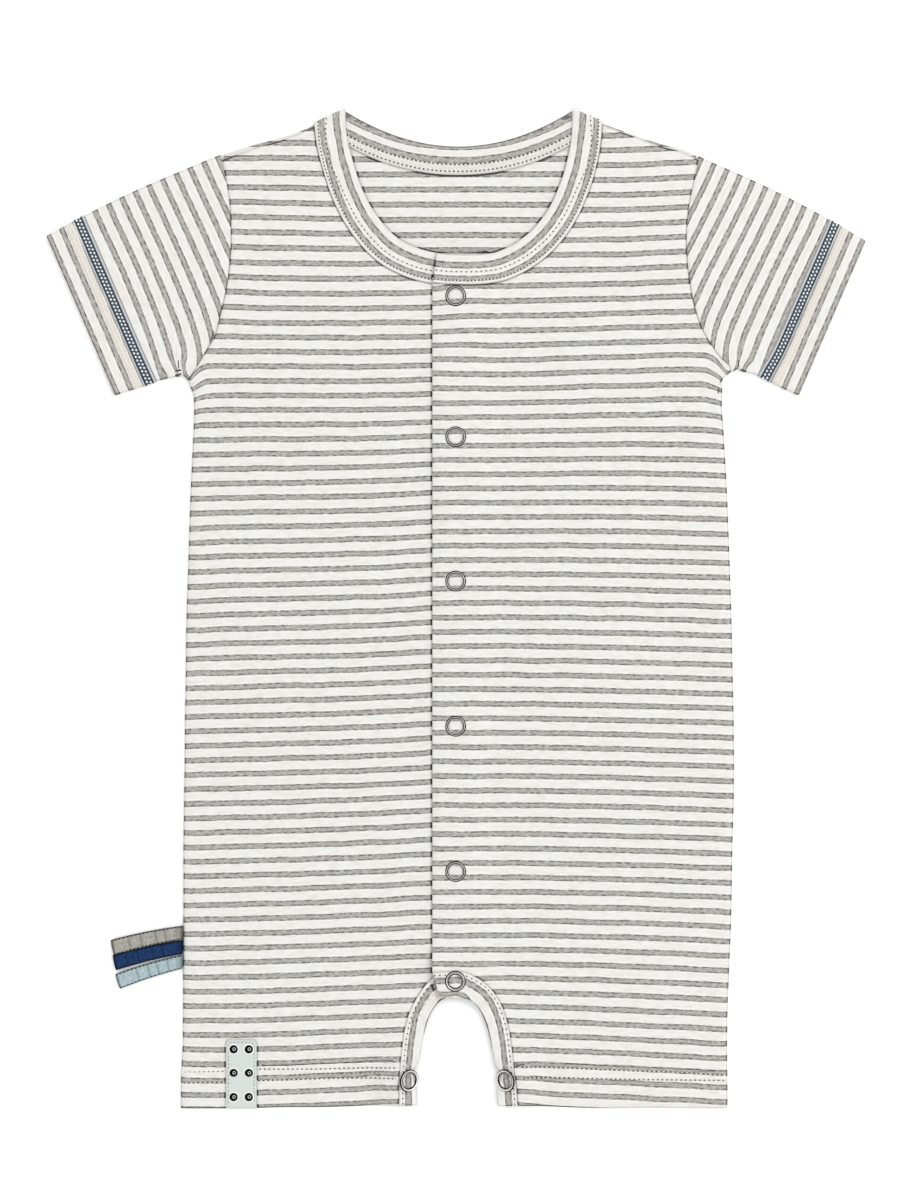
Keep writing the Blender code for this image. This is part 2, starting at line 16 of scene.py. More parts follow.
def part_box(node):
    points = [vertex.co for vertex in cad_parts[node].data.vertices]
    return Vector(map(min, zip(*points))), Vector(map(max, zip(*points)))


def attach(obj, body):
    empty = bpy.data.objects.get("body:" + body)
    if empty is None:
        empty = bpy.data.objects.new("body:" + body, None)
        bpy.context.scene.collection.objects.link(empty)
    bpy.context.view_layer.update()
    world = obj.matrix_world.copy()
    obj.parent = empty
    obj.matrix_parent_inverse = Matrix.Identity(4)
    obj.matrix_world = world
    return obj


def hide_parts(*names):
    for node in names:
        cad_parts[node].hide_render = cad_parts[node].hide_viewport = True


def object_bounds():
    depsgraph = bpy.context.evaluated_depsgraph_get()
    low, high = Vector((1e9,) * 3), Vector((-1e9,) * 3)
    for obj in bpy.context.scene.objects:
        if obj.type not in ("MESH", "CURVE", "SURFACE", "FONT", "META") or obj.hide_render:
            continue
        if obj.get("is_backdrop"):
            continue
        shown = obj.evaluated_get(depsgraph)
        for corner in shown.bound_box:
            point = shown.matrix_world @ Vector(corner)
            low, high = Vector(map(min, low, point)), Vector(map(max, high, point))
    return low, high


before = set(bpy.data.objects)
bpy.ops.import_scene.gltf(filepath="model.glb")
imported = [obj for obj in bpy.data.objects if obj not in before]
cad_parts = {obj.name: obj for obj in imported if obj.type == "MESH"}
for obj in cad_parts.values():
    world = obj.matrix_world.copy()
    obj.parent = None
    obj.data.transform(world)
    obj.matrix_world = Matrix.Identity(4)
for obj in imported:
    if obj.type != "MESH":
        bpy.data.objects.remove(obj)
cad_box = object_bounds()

# ---- Back panel ---------------------------------------------------------------------------
# The whole back in one piece, of striped single jersey: yarn-dyed combed cotton, about 1 mm
# thick. It is cut on the fold and lies on the surface. Its inner face shows in the neck.

MM = 0.001
CLOTH_WALL = 0.9
STRIPE_REPEAT = 6.65
GREY_HALF_WIDTH = 1.33
COURSES_PER_REPEAT = 8
WALE_WIDTH = 0.95


def linear_colour(code):
    """Linear RGBA of an sRGB hex colour."""
    channels = [int(code[i:i + 2], 16) / 255 for i in (0, 2, 4)]
    return (*(c / 12.92 if c <= 0.04045 else ((c + 0.055) / 1.055) ** 2.4 for c in channels), 1.0)


def add_node(tree, kind, inputs=(), output=0, **settings):
    """Add a shader node, and return one of its outputs, by name or number.

    Each input, given by name or number, is a value or another node's socket.
    """
    made = tree.nodes.new("ShaderNode" + kind)
    for name, value in settings.items():
        setattr(made, name, value)
    for name, value in dict(inputs).items():
        if isinstance(value, bpy.types.NodeSocket):
            tree.links.new(value, made.inputs[name])
        else:
            made.inputs[name].default_value = value
    return made.outputs[output]


def start_material(name, roughness, colour="FFFFFF", specular=0.5, **settings):
    """A new material with its shader's own sockets set, its node tree, and that shader."""
    made = bpy.data.materials.new(name)
    made.use_nodes = True
    shader = made.node_tree.nodes["Principled BSDF"]
    shader.inputs["Base Color"].default_value = linear_colour(colour)
    shader.inputs["Roughness"].default_value = roughness
    shader.inputs["Specular IOR Level"].default_value = specular
    for socket, value in settings.items():
        shader.inputs[socket.replace("_", " ").title()].default_value = value
    return made, made.node_tree, shader


def roughen(tree, shader, height, strength, depth):
    """Raise a surface by a pattern's height, as much as depth in millimetres."""
    bump = add_node(tree, "Bump", {"Strength": strength, "Distance": depth * MM, "Height": height})
    tree.links.new(bump, shader.inputs["Normal"])


# seam_shadow is no yarn: it is the colour of the painted shade along seams and edges
YARN = {name: linear_colour(code) for name, code in (
    ("white", "D0CDC8"), ("worn_white", "D0D1CE"), ("bleached", "DFDCD9"), ("grey", "95928D"),
    ("dark_grey", "5A5753"), ("fleck", "BAB7B3"), ("seam_shadow", "1C1C1A"))}


def striped_jersey(name):
    """Single jersey knitted in stripes of white and of grey marl cotton, brushed by washing.

    It is matt with a faint bloom. The grey courses are flecked, and the outer two of the three
    are darker, so that each stripe has a drawn edge, toothed by the knitted loops.
    Next to a seam, an edge or a lapped edge it carries painted shade, the grey much more than the
    white.
    Real wales and courses are 0.6 mm apart. They are drawn a half coarser, to show at all.
    """
    made, tree, shader = start_material(name, 0.9, specular=0.25, sheen_weight=0.18,
                                        sheen_roughness=0.45)
    product, scaled_sum = {"operation": "MULTIPLY"}, {"operation": "MULTIPLY_ADD"}
    soft = {"interpolation_type": "SMOOTHSTEP"}
    rgb = {"output": 2, "data_type": "RGBA"}
    threads = add_node(tree, "Attribute", output="Vector", attribute_name="threads")
    split = add_node(tree, "SeparateXYZ", {0: threads}).node
    along, stripes, seam = split.outputs
    across = add_node(tree, "Math", {0: stripes, 1: STRIPE_REPEAT}, **product)

    def streaks(length, width, seed, detail=2.0):
        """Uneven streaks of a length along the threads and a width across them."""
        x = add_node(tree, "Math", {0: along, 1: length}, operation="DIVIDE")
        y = add_node(tree, "Math", {0: across, 1: width}, operation="DIVIDE")
        place = add_node(tree, "CombineXYZ", {0: x, 1: y, 2: seed})
        return add_node(tree, "TexNoise", {"Vector": place, "Scale": 1.0, "Detail": detail})

    # The edge of each stripe, toothed by the loops and wandering with the yarn
    tooth = add_node(tree, "Math", {0: along, 1: WALE_WIDTH / 2}, operation="PINGPONG")
    wander = add_node(tree, "Math", {0: streaks(2.4, 30.0, 1.0, 3.0), 1: 0.5}, operation="SUBTRACT")
    wavy = add_node(tree, "Math", {0: wander, 1: 0.42, 2: across}, **scaled_sum)
    wavy = add_node(tree, "Math", {0: tooth, 1: 0.30, 2: wavy}, **scaled_sum)
    offset = add_node(tree, "Math", {0: wavy, 1: STRIPE_REPEAT / 2}, operation="PINGPONG")
    in_grey = add_node(tree, "MapRange", {0: offset, 1: GREY_HALF_WIDTH - 0.12,
                                          2: GREY_HALF_WIDTH + 0.16, 3: 1.0, 4: 0.0}, **soft)
    # Grey marl, with darker outer courses and pale flecks
    flecks = streaks(2.2, 0.7, 5.0, 3.0)
    outer_course = add_node(tree, "MapRange", {0: offset, 1: 0.45, 2: 0.85}, **soft)
    uneven = add_node(tree, "MapRange", {0: streaks(3.0, 1.0, 9.0), 1: 0.34, 2: 0.54}, **soft)
    outer_marl = add_node(tree, "Math", {0: outer_course, 1: uneven}, **product)
    grey = add_node(tree, "Mix", {0: outer_marl, 6: YARN["grey"], 7: YARN["dark_grey"]}, **rgb)
    marl = add_node(tree, "MapRange", {0: flecks, 1: 0.44, 2: 0.60, 3: 0.0, 4: 0.6}, **soft)
    grey = add_node(tree, "Mix", {0: marl, 6: grey, 7: YARN["fleck"]}, **rgb)
    # White yarn, a little paler beside the grey and unevenly worn
    near_grey = add_node(tree, "MapRange", {0: offset, 1: GREY_HALF_WIDTH,
                                            2: GREY_HALF_WIDTH + 1.3, 3: 1.0, 4: 0.5}, **soft)
    uneven = add_node(tree, "MapRange", {0: streaks(5.0, 1.1, 14.0), 1: 0.35, 2: 0.6}, **soft)
    bleach = add_node(tree, "Math", {0: near_grey, 1: uneven}, **product)
    worn = add_node(tree, "MapRange", {0: streaks(15.0, 5.0, 21.0), 1: 0.42, 2: 0.58}, **soft)
    white = add_node(tree, "Mix", {0: worn, 6: YARN["white"], 7: YARN["worn_white"]}, **rgb)
    white = add_node(tree, "Mix", {0: bleach, 6: white, 7: YARN["bleached"]}, **rgb)
    colour = add_node(tree, "Mix", {0: in_grey, 6: white, 7: grey}, **rgb)
    # Painted shade along the seams and edges
    from_seam = add_node(tree, "Math", {0: seam}, operation="ABSOLUTE")
    in_seam = add_node(tree, "MapRange", {0: from_seam, 1: 0.30, 2: 0.90, 3: 1.0, 4: 0.0}, **soft)
    in_crack = add_node(tree, "MapRange", {0: from_seam, 1: 0.12, 2: 0.50, 3: 0.09, 4: 0.0}, **soft)
    depth = add_node(tree, "Math", {0: in_grey, 1: 0.72, 2: 0.15}, **scaled_sum)
    depth = add_node(tree, "Math", {0: depth, 1: in_crack}, operation="ADD")
    shade = add_node(tree, "Math", {0: in_seam, 1: depth}, **product)
    colour = add_node(tree, "Mix", {0: shade, 6: colour, 7: YARN["seam_shadow"]}, **rgb)
    tree.links.new(colour, shader.inputs["Base Color"])
    matt = add_node(tree, "MapRange", {0: flecks, 1: 0.3, 2: 0.7, 3: 0.82, 4: 0.97})
    tree.links.new(matt, shader.inputs["Roughness"])
    # Loops and courses of the knit
    loop = add_node(tree, "Math", {0: along, 1: 2 * math.pi / WALE_WIDTH}, **product)
    loop = add_node(tree, "Math", {0: loop}, operation="SINE")
    course = add_node(tree, "Math", {0: stripes, 1: 2 * math.pi * COURSES_PER_REPEAT}, **product)
    course = add_node(tree, "Math", {0: course}, operation="SINE")
    relief = add_node(tree, "Math", {0: course, 1: 0.4}, **product)
    relief = add_node(tree, "Math", {0: loop, 1: 0.3, 2: relief}, **scaled_sum)
    relief = add_node(tree, "Math", {0: flecks, 1: 1.6, 2: relief}, **scaled_sum)
    roughen(tree, shader, relief, 0.35, 0.12)
    return made


jersey = striped_jersey("yarn_dyed_striped_jersey")


def box_mm(name):
    """Lowest and highest corner of a CAD node, in millimetres."""
    low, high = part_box(name)
    return low / MM, high / MM


def smooth(value, low, high):
    """0 at low and before it, 1 at high and past it, and a soft S between them."""
    share = min(1.0, max(0.0, (value - low) / (high - low)))
    return share * share * (3 - 2 * share)


def read_table(table, value):
    """The other columns of a table at a value of its first column, which rises."""
    for below, above in zip(table, table[1:]):
        if value <= above[0]:
            share = max(0.0, (value - below[0]) / (above[0] - below[0]))
            return [a + (b - a) * share for a, b in zip(below[1:], above[1:])]
    return list(table[-1][1:])


def soft_folds(x, y, folds):
    """Height that a table of soft folds adds at a point. A fold of negative height is a trough."""
    total = 0.0
    for fold_x, fold_y, direction, length, width, height, bend in folds:
        turn = math.radians(direction)
        along = (x - fold_x) * math.cos(turn) + (y - fold_y) * math.sin(turn)
        aside = (y - fold_y) * math.cos(turn) - (x - fold_x) * math.sin(turn)
        aside += bend * (2 * along / length) ** 2
        total += height * math.exp(-(aside / width) ** 2 - (2 * along / length) ** 4)
    return total


# The garment lies a little out of true. lean: how far its side edge lies outside its pattern.
# It grows with the square of the distance from the middle, up to the side edge's.
LEAN_REACH = 125.0
SIDE_LEAN = {
    # y, lean
    -1: (
        (-224, 1.9), (-212, 1.6), (-199, 0.7), (-180, 0.3), (-150, 0), (-125, -0.3), (-70, -0.5),
        (-34, -0.45), (-15, -0.15), (20, 0), (50, 0.35), (86, 0.45), (95, 0.6), (125, 0),
    ),
    1: (
        (-224, -2), (-200, -2.5), (-181, -2.5), (-162, -1.9), (-144, -1.2), (-107, -0.8),
        (-89, 0), (-70, 0.3), (0, 0.45), (60, 0.7), (86, 0.45), (95, 0), (125, 0),
    ),
}
# Small pulls on the cloth where a hand has left it. x is outwards from the middle.
PULLS = {
    # x, y, reach, outwards, up
    -1: (
        (123.2, 107.3, 8.0, 0.9, -1.4),
        (112.0, 126.0, 7.0, -1.0, 0.0),
        (76.0, 220.0, 14.0, 0.0, -1.2),
        (107.8, 209.0, 16.0, 1.2, 0.2),
        (25.0, -229.5, 34.0, 0.0, 1.7),
        (78.0, -229.5, 14.0, 0.0, 0.45),
    ),
    1: (
        (123.2, 107.3, 8.0, 2.0, 2.0),
        (117.5, 118.0, 9.0, 1.9, 0.0),
        (121.5, 104.3, 3.4, -3.1, 0.0),
        (139.0, 106.0, 10.0, 0.0, 2.0),
        (101.0, 211.5, 7.0, 0.0, 1.1),
        (107.8, 209.0, 23.0, 2.7, -0.9),
        (25.0, -229.5, 26.0, 0.0, 1.5),
        (92.0, -229.5, 20.0, 0.0, 0.25),
        (122.5, 111.5, 5.0, 1.6, 0.0),
    ),
}


def settle(point):
    """Where a point of the pattern lies on the table."""
    side = 1 if point.x > 0 else -1
    out, y = abs(point.x), point.y
    moved = read_table(SIDE_LEAN[side], y)[0] * min(1.0, (out / LEAN_REACH) ** 2)
    risen = 0.0
    for pull_x, pull_y, reach, outwards, up in PULLS[side]:
        near = math.exp(-((out - pull_x) ** 2 + (y - pull_y) ** 2) / reach ** 2)
        moved += outwards * near
        risen += up * near
    return Vector((point.x + side * moved, y + risen, *point[2:]))


def ripple(x, y, size, seed):
    """Slow unevenness of cloth at rest, from -1 to 1."""
    return noise.noise(Vector((x / size, y / size, seed)))


HEM_Y = box_mm("back_panel")[0].y
patch_low, patch_high = box_mm("hem_patch")
UNDERARM = Vector((123.2, 107.3))
SHOULDER_TIP = Vector((107.8, 209.6))
ARMHOLE_UPPER_HANDLE = Vector((101.6, 170.0))
ARMHOLE_LOWER_HANDLE = Vector((103.6, 137.0))
SIDE_SEAM = (
    # y, half width
    (-229.5, 125.8), (-170, 126.6), (-110, 127), (-50, 126.4), (0, 125.2), (50, 123.2),
    (90, 121.2), (99, 121), (107.3, 123.2),
)
ARCH_TOP_Y = -165.1
NECK_HALF_WIDTH = 67.0
NECK_TOP_Y = 223.7
BACK_SEAM_CENTRE_Y = 200.3

# Cuts across a body panel, from its inner edge to its outer one. angle: degrees round the arch
# from the hem, or round the neckline from the centre. y: height up the centre line. outer: 0 at
# the hem, 1 at the underarm and 2 at the shoulder tip. bow: how soon the cut turns to its outer end.
ARCH_CUTS = (
    # angle, outer, bow
    (0, 0, 1), (6, 0.04, 1), (14, 0.07, 1), (28, 0.11, 1), (48, 0.15, 1), (66, 0.18, 1.2),
    (78, 0.21, 1.5), (90, 0.24, 2),
)
BACK_CENTRE_CUTS = (
    # y, outer, bow
    (ARCH_TOP_Y, 0.24, 2.0),
    (-120, 0.38, 1), (110, 0.95, 1), (138, 1.08, 1), (166, 1.25, 1),
    (BACK_SEAM_CENTRE_Y, 1.36, 1.0),
)
BACK_NECK_CUTS = (
    # share of the way from the centre back to the shoulder, outer, bow
    (0, 1.36, 1), (0.5, 1.64, 1), (0.85, 1.89, 1), (1, 2, 1),
)
# Distances from an edge at which cloth has its close-set stations
EDGE_RUNS = (0.0, 0.4, 0.9, 1.6, 2.5, 3.6)
ROW_SPACING = 1.9
BACK_CENTRE_SPACING = 2.4
BACK_COLUMNS = 46
# How far short of the fronts' outer edge the back's lies
BACK_INSET = 0.9


def signed_power(value, exponent):
    return math.copysign(abs(value) ** exponent, value)


def arch_curve(half_width, top_y, fullness):
    """Edge round the inside of the legs, by an angle: 0 at the left hem, 90 at the crotch."""
    def curve(angle):
        turn = math.radians(angle)
        return Vector((half_width * signed_power(math.cos(turn), 2 / fullness),
                       HEM_Y + (top_y - HEM_Y) * math.sin(turn) ** (2 / fullness)))
    return curve


def back_neck_curve(half_width, top_y, centre_y, fullness):
    """Edge across the back of the neck, by a share: 0 at the centre back, 1 at the left shoulder."""
    def curve(share):
        rise = (top_y - centre_y) * abs(share) ** fullness
        return Vector((half_width * share, centre_y + rise))
    return curve


# Where the bands are sewn on, and the free edge of the inseam bands
arch_seam = arch_curve(half_width=27.4, top_y=ARCH_TOP_Y, fullness=2.75)
arch_free_edge = arch_curve(half_width=18.7, top_y=-178.0, fullness=2.5)
back_neck_seam = back_neck_curve(NECK_HALF_WIDTH, NECK_TOP_Y, BACK_SEAM_CENTRE_Y, fullness=2.1)


def armhole(share):
    """Armhole seam from the shoulder tip, share 0, to the underarm, share 1."""
    rest = 1 - share
    return (SHOULDER_TIP * rest ** 3 + ARMHOLE_UPPER_HANDLE * 3 * rest ** 2 * share
            + ARMHOLE_LOWER_HANDLE * 3 * rest * share ** 2 + UNDERARM * share ** 3)


def half_width(y):
    """Distance of a body panel's side seam from the middle."""
    return read_table(SIDE_SEAM, y)[0]


def outer_edge(position):
    """Outer edge of a body panel: hem 0, underarm 1, shoulder tip 2."""
    if position <= 1:
        y = HEM_Y + position * (UNDERARM.y - HEM_Y)
        return Vector((half_width(y), y))
    return armhole(2 - position)


def running_lengths(points):
    """Distance along a path to each of its points."""
    runs = [0.0]
    for before, after in zip(points, points[1:]):
        runs.append(runs[-1] + (after - before).length)
    return runs


def spread(total, spacing, close_start, close_end):
    """Even stations along a length, close set at its ends where asked."""
    start = EDGE_RUNS if close_start else (0.0,)
    end = EDGE_RUNS if close_end else (0.0,)
    low, high = start[-1], total - end[-1]
    count = max(1, round((high - low) / spacing))
    return [*start, *(low + (high - low) * k / count for k in range(1, count)),
            *(total - run for run in reversed(end))]


def trace_cuts(curve, cuts, spacing, close_start=False, close_end=False):
    """Rows (inner point, outer point, bow) evenly spaced along the curve that starts a panel's cuts."""
    fine = []
    for row, following in zip(cuts, cuts[1:]):
        for k in range(24):
            fine.append([a + (b - a) * k / 24 for a, b in zip(row, following)])
    fine.append(list(cuts[-1]))
    runs = running_lengths([curve(row[0]) for row in fine])
    table = list(zip(runs, *zip(*fine)))
    rows = []
    for run in spread(runs[-1], spacing, close_start, close_end):
        parameter, outer, bow = read_table(table, run)
        rows.append((curve(parameter), outer_edge(outer), bow))
    return rows


def edge_run(index, count, span):
    """Distance of a station from the start of a span: close set at both ends, even between."""
    close = len(EDGE_RUNS)
    if index < close:
        return EDGE_RUNS[index]
    if index >= count - close:
        return span - EDGE_RUNS[count - 1 - index]
    step = (span - 2 * EDGE_RUNS[-1]) / (count - 2 * close + 1)
    return EDGE_RUNS[-1] + step * (index + 1 - close)


def grid(bm, columns, rows, place, mark=None):
    """Add a grid to a mesh, with each vertex where place puts its column and row.

    mark gives the threads value of a column and row at a point.
    """
    threads = bm.verts.layers.float_vector.new("threads") if mark else None
    made = bmesh.ops.create_grid(bm, x_segments=columns - 1, y_segments=rows - 1, size=0.5)
    for vertex in made["verts"]:
        column = round((vertex.co.x + 0.5) * (columns - 1))
        row = round((vertex.co.y + 0.5) * (rows - 1))
        vertex.co = place(column, row)
        if mark:
            vertex[threads] = mark(column, row, vertex.co)
    return made["verts"]


def flat_panel(rows, middle_columns):
    """Cloth in the XY plane through rows of (inner point, outer point, bow)."""
    columns = middle_columns + 2 * len(EDGE_RUNS)
    bm = bmesh.new()

    def place(column, row):
        inner, outer, bow = rows[row]
        span = outer.x - inner.x
        run = edge_run(column, columns, span)
        return inner.x + run, inner.y + (outer.y - inner.y) * (1 - (1 - run / span) ** bow), 0

    grid(bm, columns, len(rows), place)
    return bm


def seam_finder(*curves):
    """Tree of points along seams, which finds the distance from any point to the nearest seam."""
    points = [point for curve in curves for point in curve]
    tree = KDTree(len(points))
    for index, point in enumerate(points):
        tree.insert((point[0], point[1], 0), index)
    tree.balance()
    return tree


def dense(curve, low, high):
    """Points along a curve, close enough together to measure a distance from."""
    return [curve(low + (high - low) * k / 900) for k in range(901)]


def face_up(bm):
    """Turn a sheet's faces so that they look up."""
    bm.normal_update()
    if sum(face.normal.z * face.calc_area() for face in bm.faces) < 0:
        bmesh.ops.reverse_faces(bm, faces=bm.faces)


def lay_cloth(bm, height, thread_lines, from_seam):
    """Raise flat cloth to its height, and mark where its threads and the nearest seam run.

    The mark holds millimetres along the stripes, stripes counted down the cloth, and the
    distance to a seam, which may be negative past a line. Returns the flat width, length and
    area, in metres.
    """
    face_up(bm)
    threads = bm.verts.layers.float_vector.new("threads")
    xs = [vertex.co.x for vertex in bm.verts]
    ys = [vertex.co.y for vertex in bm.verts]
    area = sum(face.calc_area() for face in bm.faces)
    for vertex in bm.verts:
        vertex.co.z = height(vertex.co.x, vertex.co.y)
        lies_at = settle(vertex.co)
        gap = from_seam(vertex.co, lies_at)
        vertex.co = lies_at
        vertex[threads] = (*thread_lines(vertex.co.x, vertex.co.y), gap)
    return (max(xs) - min(xs)) * MM, (max(ys) - min(ys)) * MM, area * MM * MM


def add_piece(name, bm, finishes, slot, *nodes):
    """Turn a mesh in millimetres into a piece that stands for CAD nodes."""
    bmesh.ops.scale(bm, vec=(MM, MM, MM), verts=bm.verts)
    mesh = bpy.data.meshes.new(name)
    bm.to_mesh(mesh)
    bm.free()
    mesh.shade_smooth()
    for finish in finishes:
        mesh.materials.append(finish)
    piece = bpy.data.objects.new(name, mesh)
    bpy.context.scene.collection.objects.link(piece)
    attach(piece, "root")
    if nodes:
        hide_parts(*nodes)
    return piece


def add_wall(piece, wall=CLOTH_WALL):
    """Give a sheet its thickness, below its upper face."""
    solidify = piece.modifiers.new("cloth wall", "SOLIDIFY")
    solidify.thickness = wall * MM
    solidify.offset = -1.0


def roll_off(distance, drop, reach):
    """How far a surface has turned down this near its edge."""
    return drop * max(0.0, 1 - distance / reach) ** 2


# Where a rolled edge is given in one value, it is (drop, reach).
BACK_TOP_Z = CLOTH_WALL + 0.08
BACK_LOWEST_Z = CLOTH_WALL + 0.02
BACK_HEM_ROLL = (0.3, 1.5)
BACK_STRIPE_REF_Y = 200.6
BACK_STRIPE_REPEAT = 6.99
BACK_FOLDS = (
    # x, y, direction, length, width, height, bend
    (-30, 186, 25, 34, 5, 0.25, 2),
    (24, 178, -32, 40, 6, 0.22, -2),
)


def back_height(x, y):
    """Upper face of the back at a point. It lifts a little inside the neck."""
    lifted = smooth(y, 150, 168) * (1 - smooth(abs(x), 50, 62))
    z = BACK_TOP_Z + lifted * (0.1 * ripple(x, y, 22, 3.0) + soft_folds(x, y, BACK_FOLDS) + 0.1)
    return max(z - roll_off(y - HEM_Y, *BACK_HEM_ROLL), BACK_LOWEST_Z)


def back_threads(x, y):
    """Place along the stripes of the back, and stripes counted down it."""
    return x, (BACK_STRIPE_REF_Y - y + 0.3 * ripple(x, y, 60, 8.0)) / BACK_STRIPE_REPEAT


NECK_BOTTOM_Y = 149.4
NECK_FULLNESS = 2.15
NECK_MIDDLE = Vector((0, 215))
NECKBAND_WIDTH = {-1: 14.35, 1: 13.65}
NECK_PEAK_REACH = 53.0
# How far inside its oval each front's neck seam lies
NECK_EASE = {
    # angle, mm
    -1: (
        (0, -0.2), (28, 0), (34, 0.35), (40, 1.05), (46, 1.6), (58, 2.4), (70, 2.65), (76, 2.45),
        (82, 1.6), (90, 0.7),
    ),
    1: (
        (0, 0.2), (10, -0.4), (16, -0.8), (28, -0.3), (40, 0.4), (52, 1.2), (64, 1.95), (76, 1.9),
        (82, 1.45), (90, 1),
    ),
}


def neck_oval(angle):
    """Neck seam of the pattern, 0 degrees at the centre front and 90 at the shoulder."""
    exponent = 2 / NECK_FULLNESS
    turn = math.radians(angle)
    return Vector((NECK_HALF_WIDTH * signed_power(math.sin(turn), exponent),
                   NECK_TOP_Y - (NECK_TOP_Y - NECK_BOTTOM_Y) * math.cos(turn) ** exponent))


def neck_line(side, angle, inset=0.0):
    """Line round a front's neck, inset from its seam: 0 degrees at the centre front, 90 at the
    shoulder. Past 90 it runs on straight up."""
    turn = min(angle, 90.0)
    tangent = (neck_oval(turn) - neck_oval(turn - 0.5)).normalized()
    inward = inset + read_table(NECK_EASE[side], turn)[0]
    point = neck_oval(turn) + Vector((-tangent.y, tangent.x)) * inward
    return point + Vector((0, 0.12 * max(0.0, angle - 90)))


def neck_seam(side):
    return lambda angle: neck_line(side, angle)


def neck_free_edge(side):
    """Fold of a front's neckband, which reaches on up to the shoulder's peak."""
    def curve(angle):
        reached = angle + NECK_PEAK_REACH * smooth(angle, 52, 96)
        return neck_line(side, reached, NECKBAND_WIDTH[side])
    return curve


def front_neck_opening():
    """Both fronts' neckband folds, round the opening in which the back shows."""
    return [Vector((side * point.x, point.y)) for side in (-1, 1)
            for point in dense(neck_free_edge(side), -12, 90)]


opening_tree = seam_finder([settle(point.to_3d()).xy for point in front_neck_opening()])
back_neck_tree = seam_finder(dense(back_neck_seam, -1, 1))

rows = trace_cuts(arch_seam, ARCH_CUTS, ROW_SPACING, close_start=True)
rows += trace_cuts(lambda y: Vector((0, y)), BACK_CENTRE_CUTS,
                   BACK_CENTRE_SPACING)[1:]
rows += trace_cuts(back_neck_seam, BACK_NECK_CUTS, ROW_SPACING)[1:]
rows = [(inner, outer - Vector((BACK_INSET, 0)), bow) for inner, outer, bow in rows]
bm = flat_panel(rows, BACK_COLUMNS)
half = bm.verts[:] + bm.edges[:] + bm.faces[:]
bmesh.ops.mirror(bm, geom=half, axis="X", merge_dist=0.01)
bmesh.ops.recalc_face_normals(bm, faces=bm.faces)
seams = seam_finder(dense(arch_seam, 0, 180))


# The jersey paints shade along this distance: under the fronts' neck opening, beside the back neckband
# and along the arch seam.
def back_gap(at, lies_at):
    """Distance to what covers the back, round the opening of the neck: negative under it."""
    nearest = None
    for tree in (opening_tree, back_neck_tree):
        edge, _, gap = tree.find((lies_at.x, lies_at.y, 0))
        if nearest is None or gap < abs(nearest):
            inside = (lies_at.xy - NECK_MIDDLE).length < (edge.xy - NECK_MIDDLE).length
            if tree is back_neck_tree:
                inside = lies_at.y < edge.y
            nearest = gap if inside else -gap
    return min((nearest - 0.25, seams.find((at.x, at.y, 0))[2]), key=abs)


width, length, area = lay_cloth(bm, back_height, back_threads, back_gap)
back = add_piece("back_jersey", bm, [jersey], "striped_jersey", "back_panel")
add_wall(back)

# ---- Fronts -------------------------------------------------------------------------------
# Two fronts of the same jersey. The left one laps over the right one by a faced placket, so
# it stands higher there, and both turn down to the back at their side seams and hems.

FRONT_COLUMNS = 56
SHOULDER_ROWS = 24
ARCH_TREE_ANGLES = [0.2 * k for k in range(651)]
FRONT_TOP_Z = 2.3
FRONT_LOWEST_Z = CLOTH_WALL + 0.05
LAP_EDGE_X = {-1: -9.0, 1: -12.0}
LAP_RISE = 2.4
CROTCH_RISE = 3.6
LAP_ROLL = (1.3, 5.0)
NECK_ROLL = (0.35, 1.1)
ARMHOLE_ROLL = (0.8, 1.8)
SIDE_ROLL = (1.35, 3.2)
HEM_ROLL = (1.4, 2.2)
HEM_STEP = 0.45
HEM_DEPTH = 18.2
STITCH_DENT = 0.3
STITCH_DENT_REACH = 0.8
ARCH_LIFT_REACH = 9.0
BELOW_BAND = 0.3
# How far each front's inseam band lies inside the pattern of its arch. It is drawn in beside the
# leg snap, and the left front's end crosses the middle as a straight tab.
ARCH_EASE = {
    # angle, at the seam, at the free edge
    -1: (
        (0, 0, -0.1), (2.7, 0, -0.2), (4.5, 0, -0.3), (6.2, 0.1, -0.6), (8, 0.2, -1.3),
        (10, 0.3, -2), (14, 0.4, -2.1), (16, 0.4, -1.3), (18, 0.4, -0.4), (21, 0.4, 0),
        (29, 0.4, 0), (36, 0.7, 0), (46, 1.5, -0.4), (56, 1.8, -0.6), (66, 1.6, -0.7),
        (77, 1, -0.6), (90, 0.3, -0.6), (130, 0, -0.8),
    ),
    1: (
        (0, 0, 0.9), (3, 0.4, 1), (5.3, 0.7, 0.8), (8, 1.3, 0), (10.6, 1.6, -0.9),
        (13, 1.6, -0.7), (15.8, 1.7, 0.6), (18.7, 1.8, 1.3), (24, 1.8, 1.5), (32, 1.85, 1.6),
        (42, 2.1, 1.5), (49, 2.5, 1.45), (56, 2.8, 1.2), (64, 2.85, 0.8), (72, 2.75, 0.3),
        (80, 2.2, 0.1), (90, 0.5, 0.3),
    ),
}
TAB_RISE = {"seam": -0.06, "free": 0.06}
SHOULDER_DROP = {-1: Vector((0, 3.0)), 1: Vector((0, 2.0))}
HEM_ROWS = (16.6, 11.2)
# Upper edge of the turned hem, which stands a little proud. A line of painted shade runs along it.
HEM_LEDGE = {
    # distance from the middle, y, how much finer the crease's painted shade has grown
    -1: (
        (28, -208, 5), (36, -208.3, 4), (91, -209.9, 3), (104, -210.3, 9), (126, -211, 9),
    ),
    1: (
        (26, -208, 1.3), (45, -208.5, 1.5), (60, -209.3, 3), (75, -210.1, 6), (126, -212.4, 9),
    ),
}
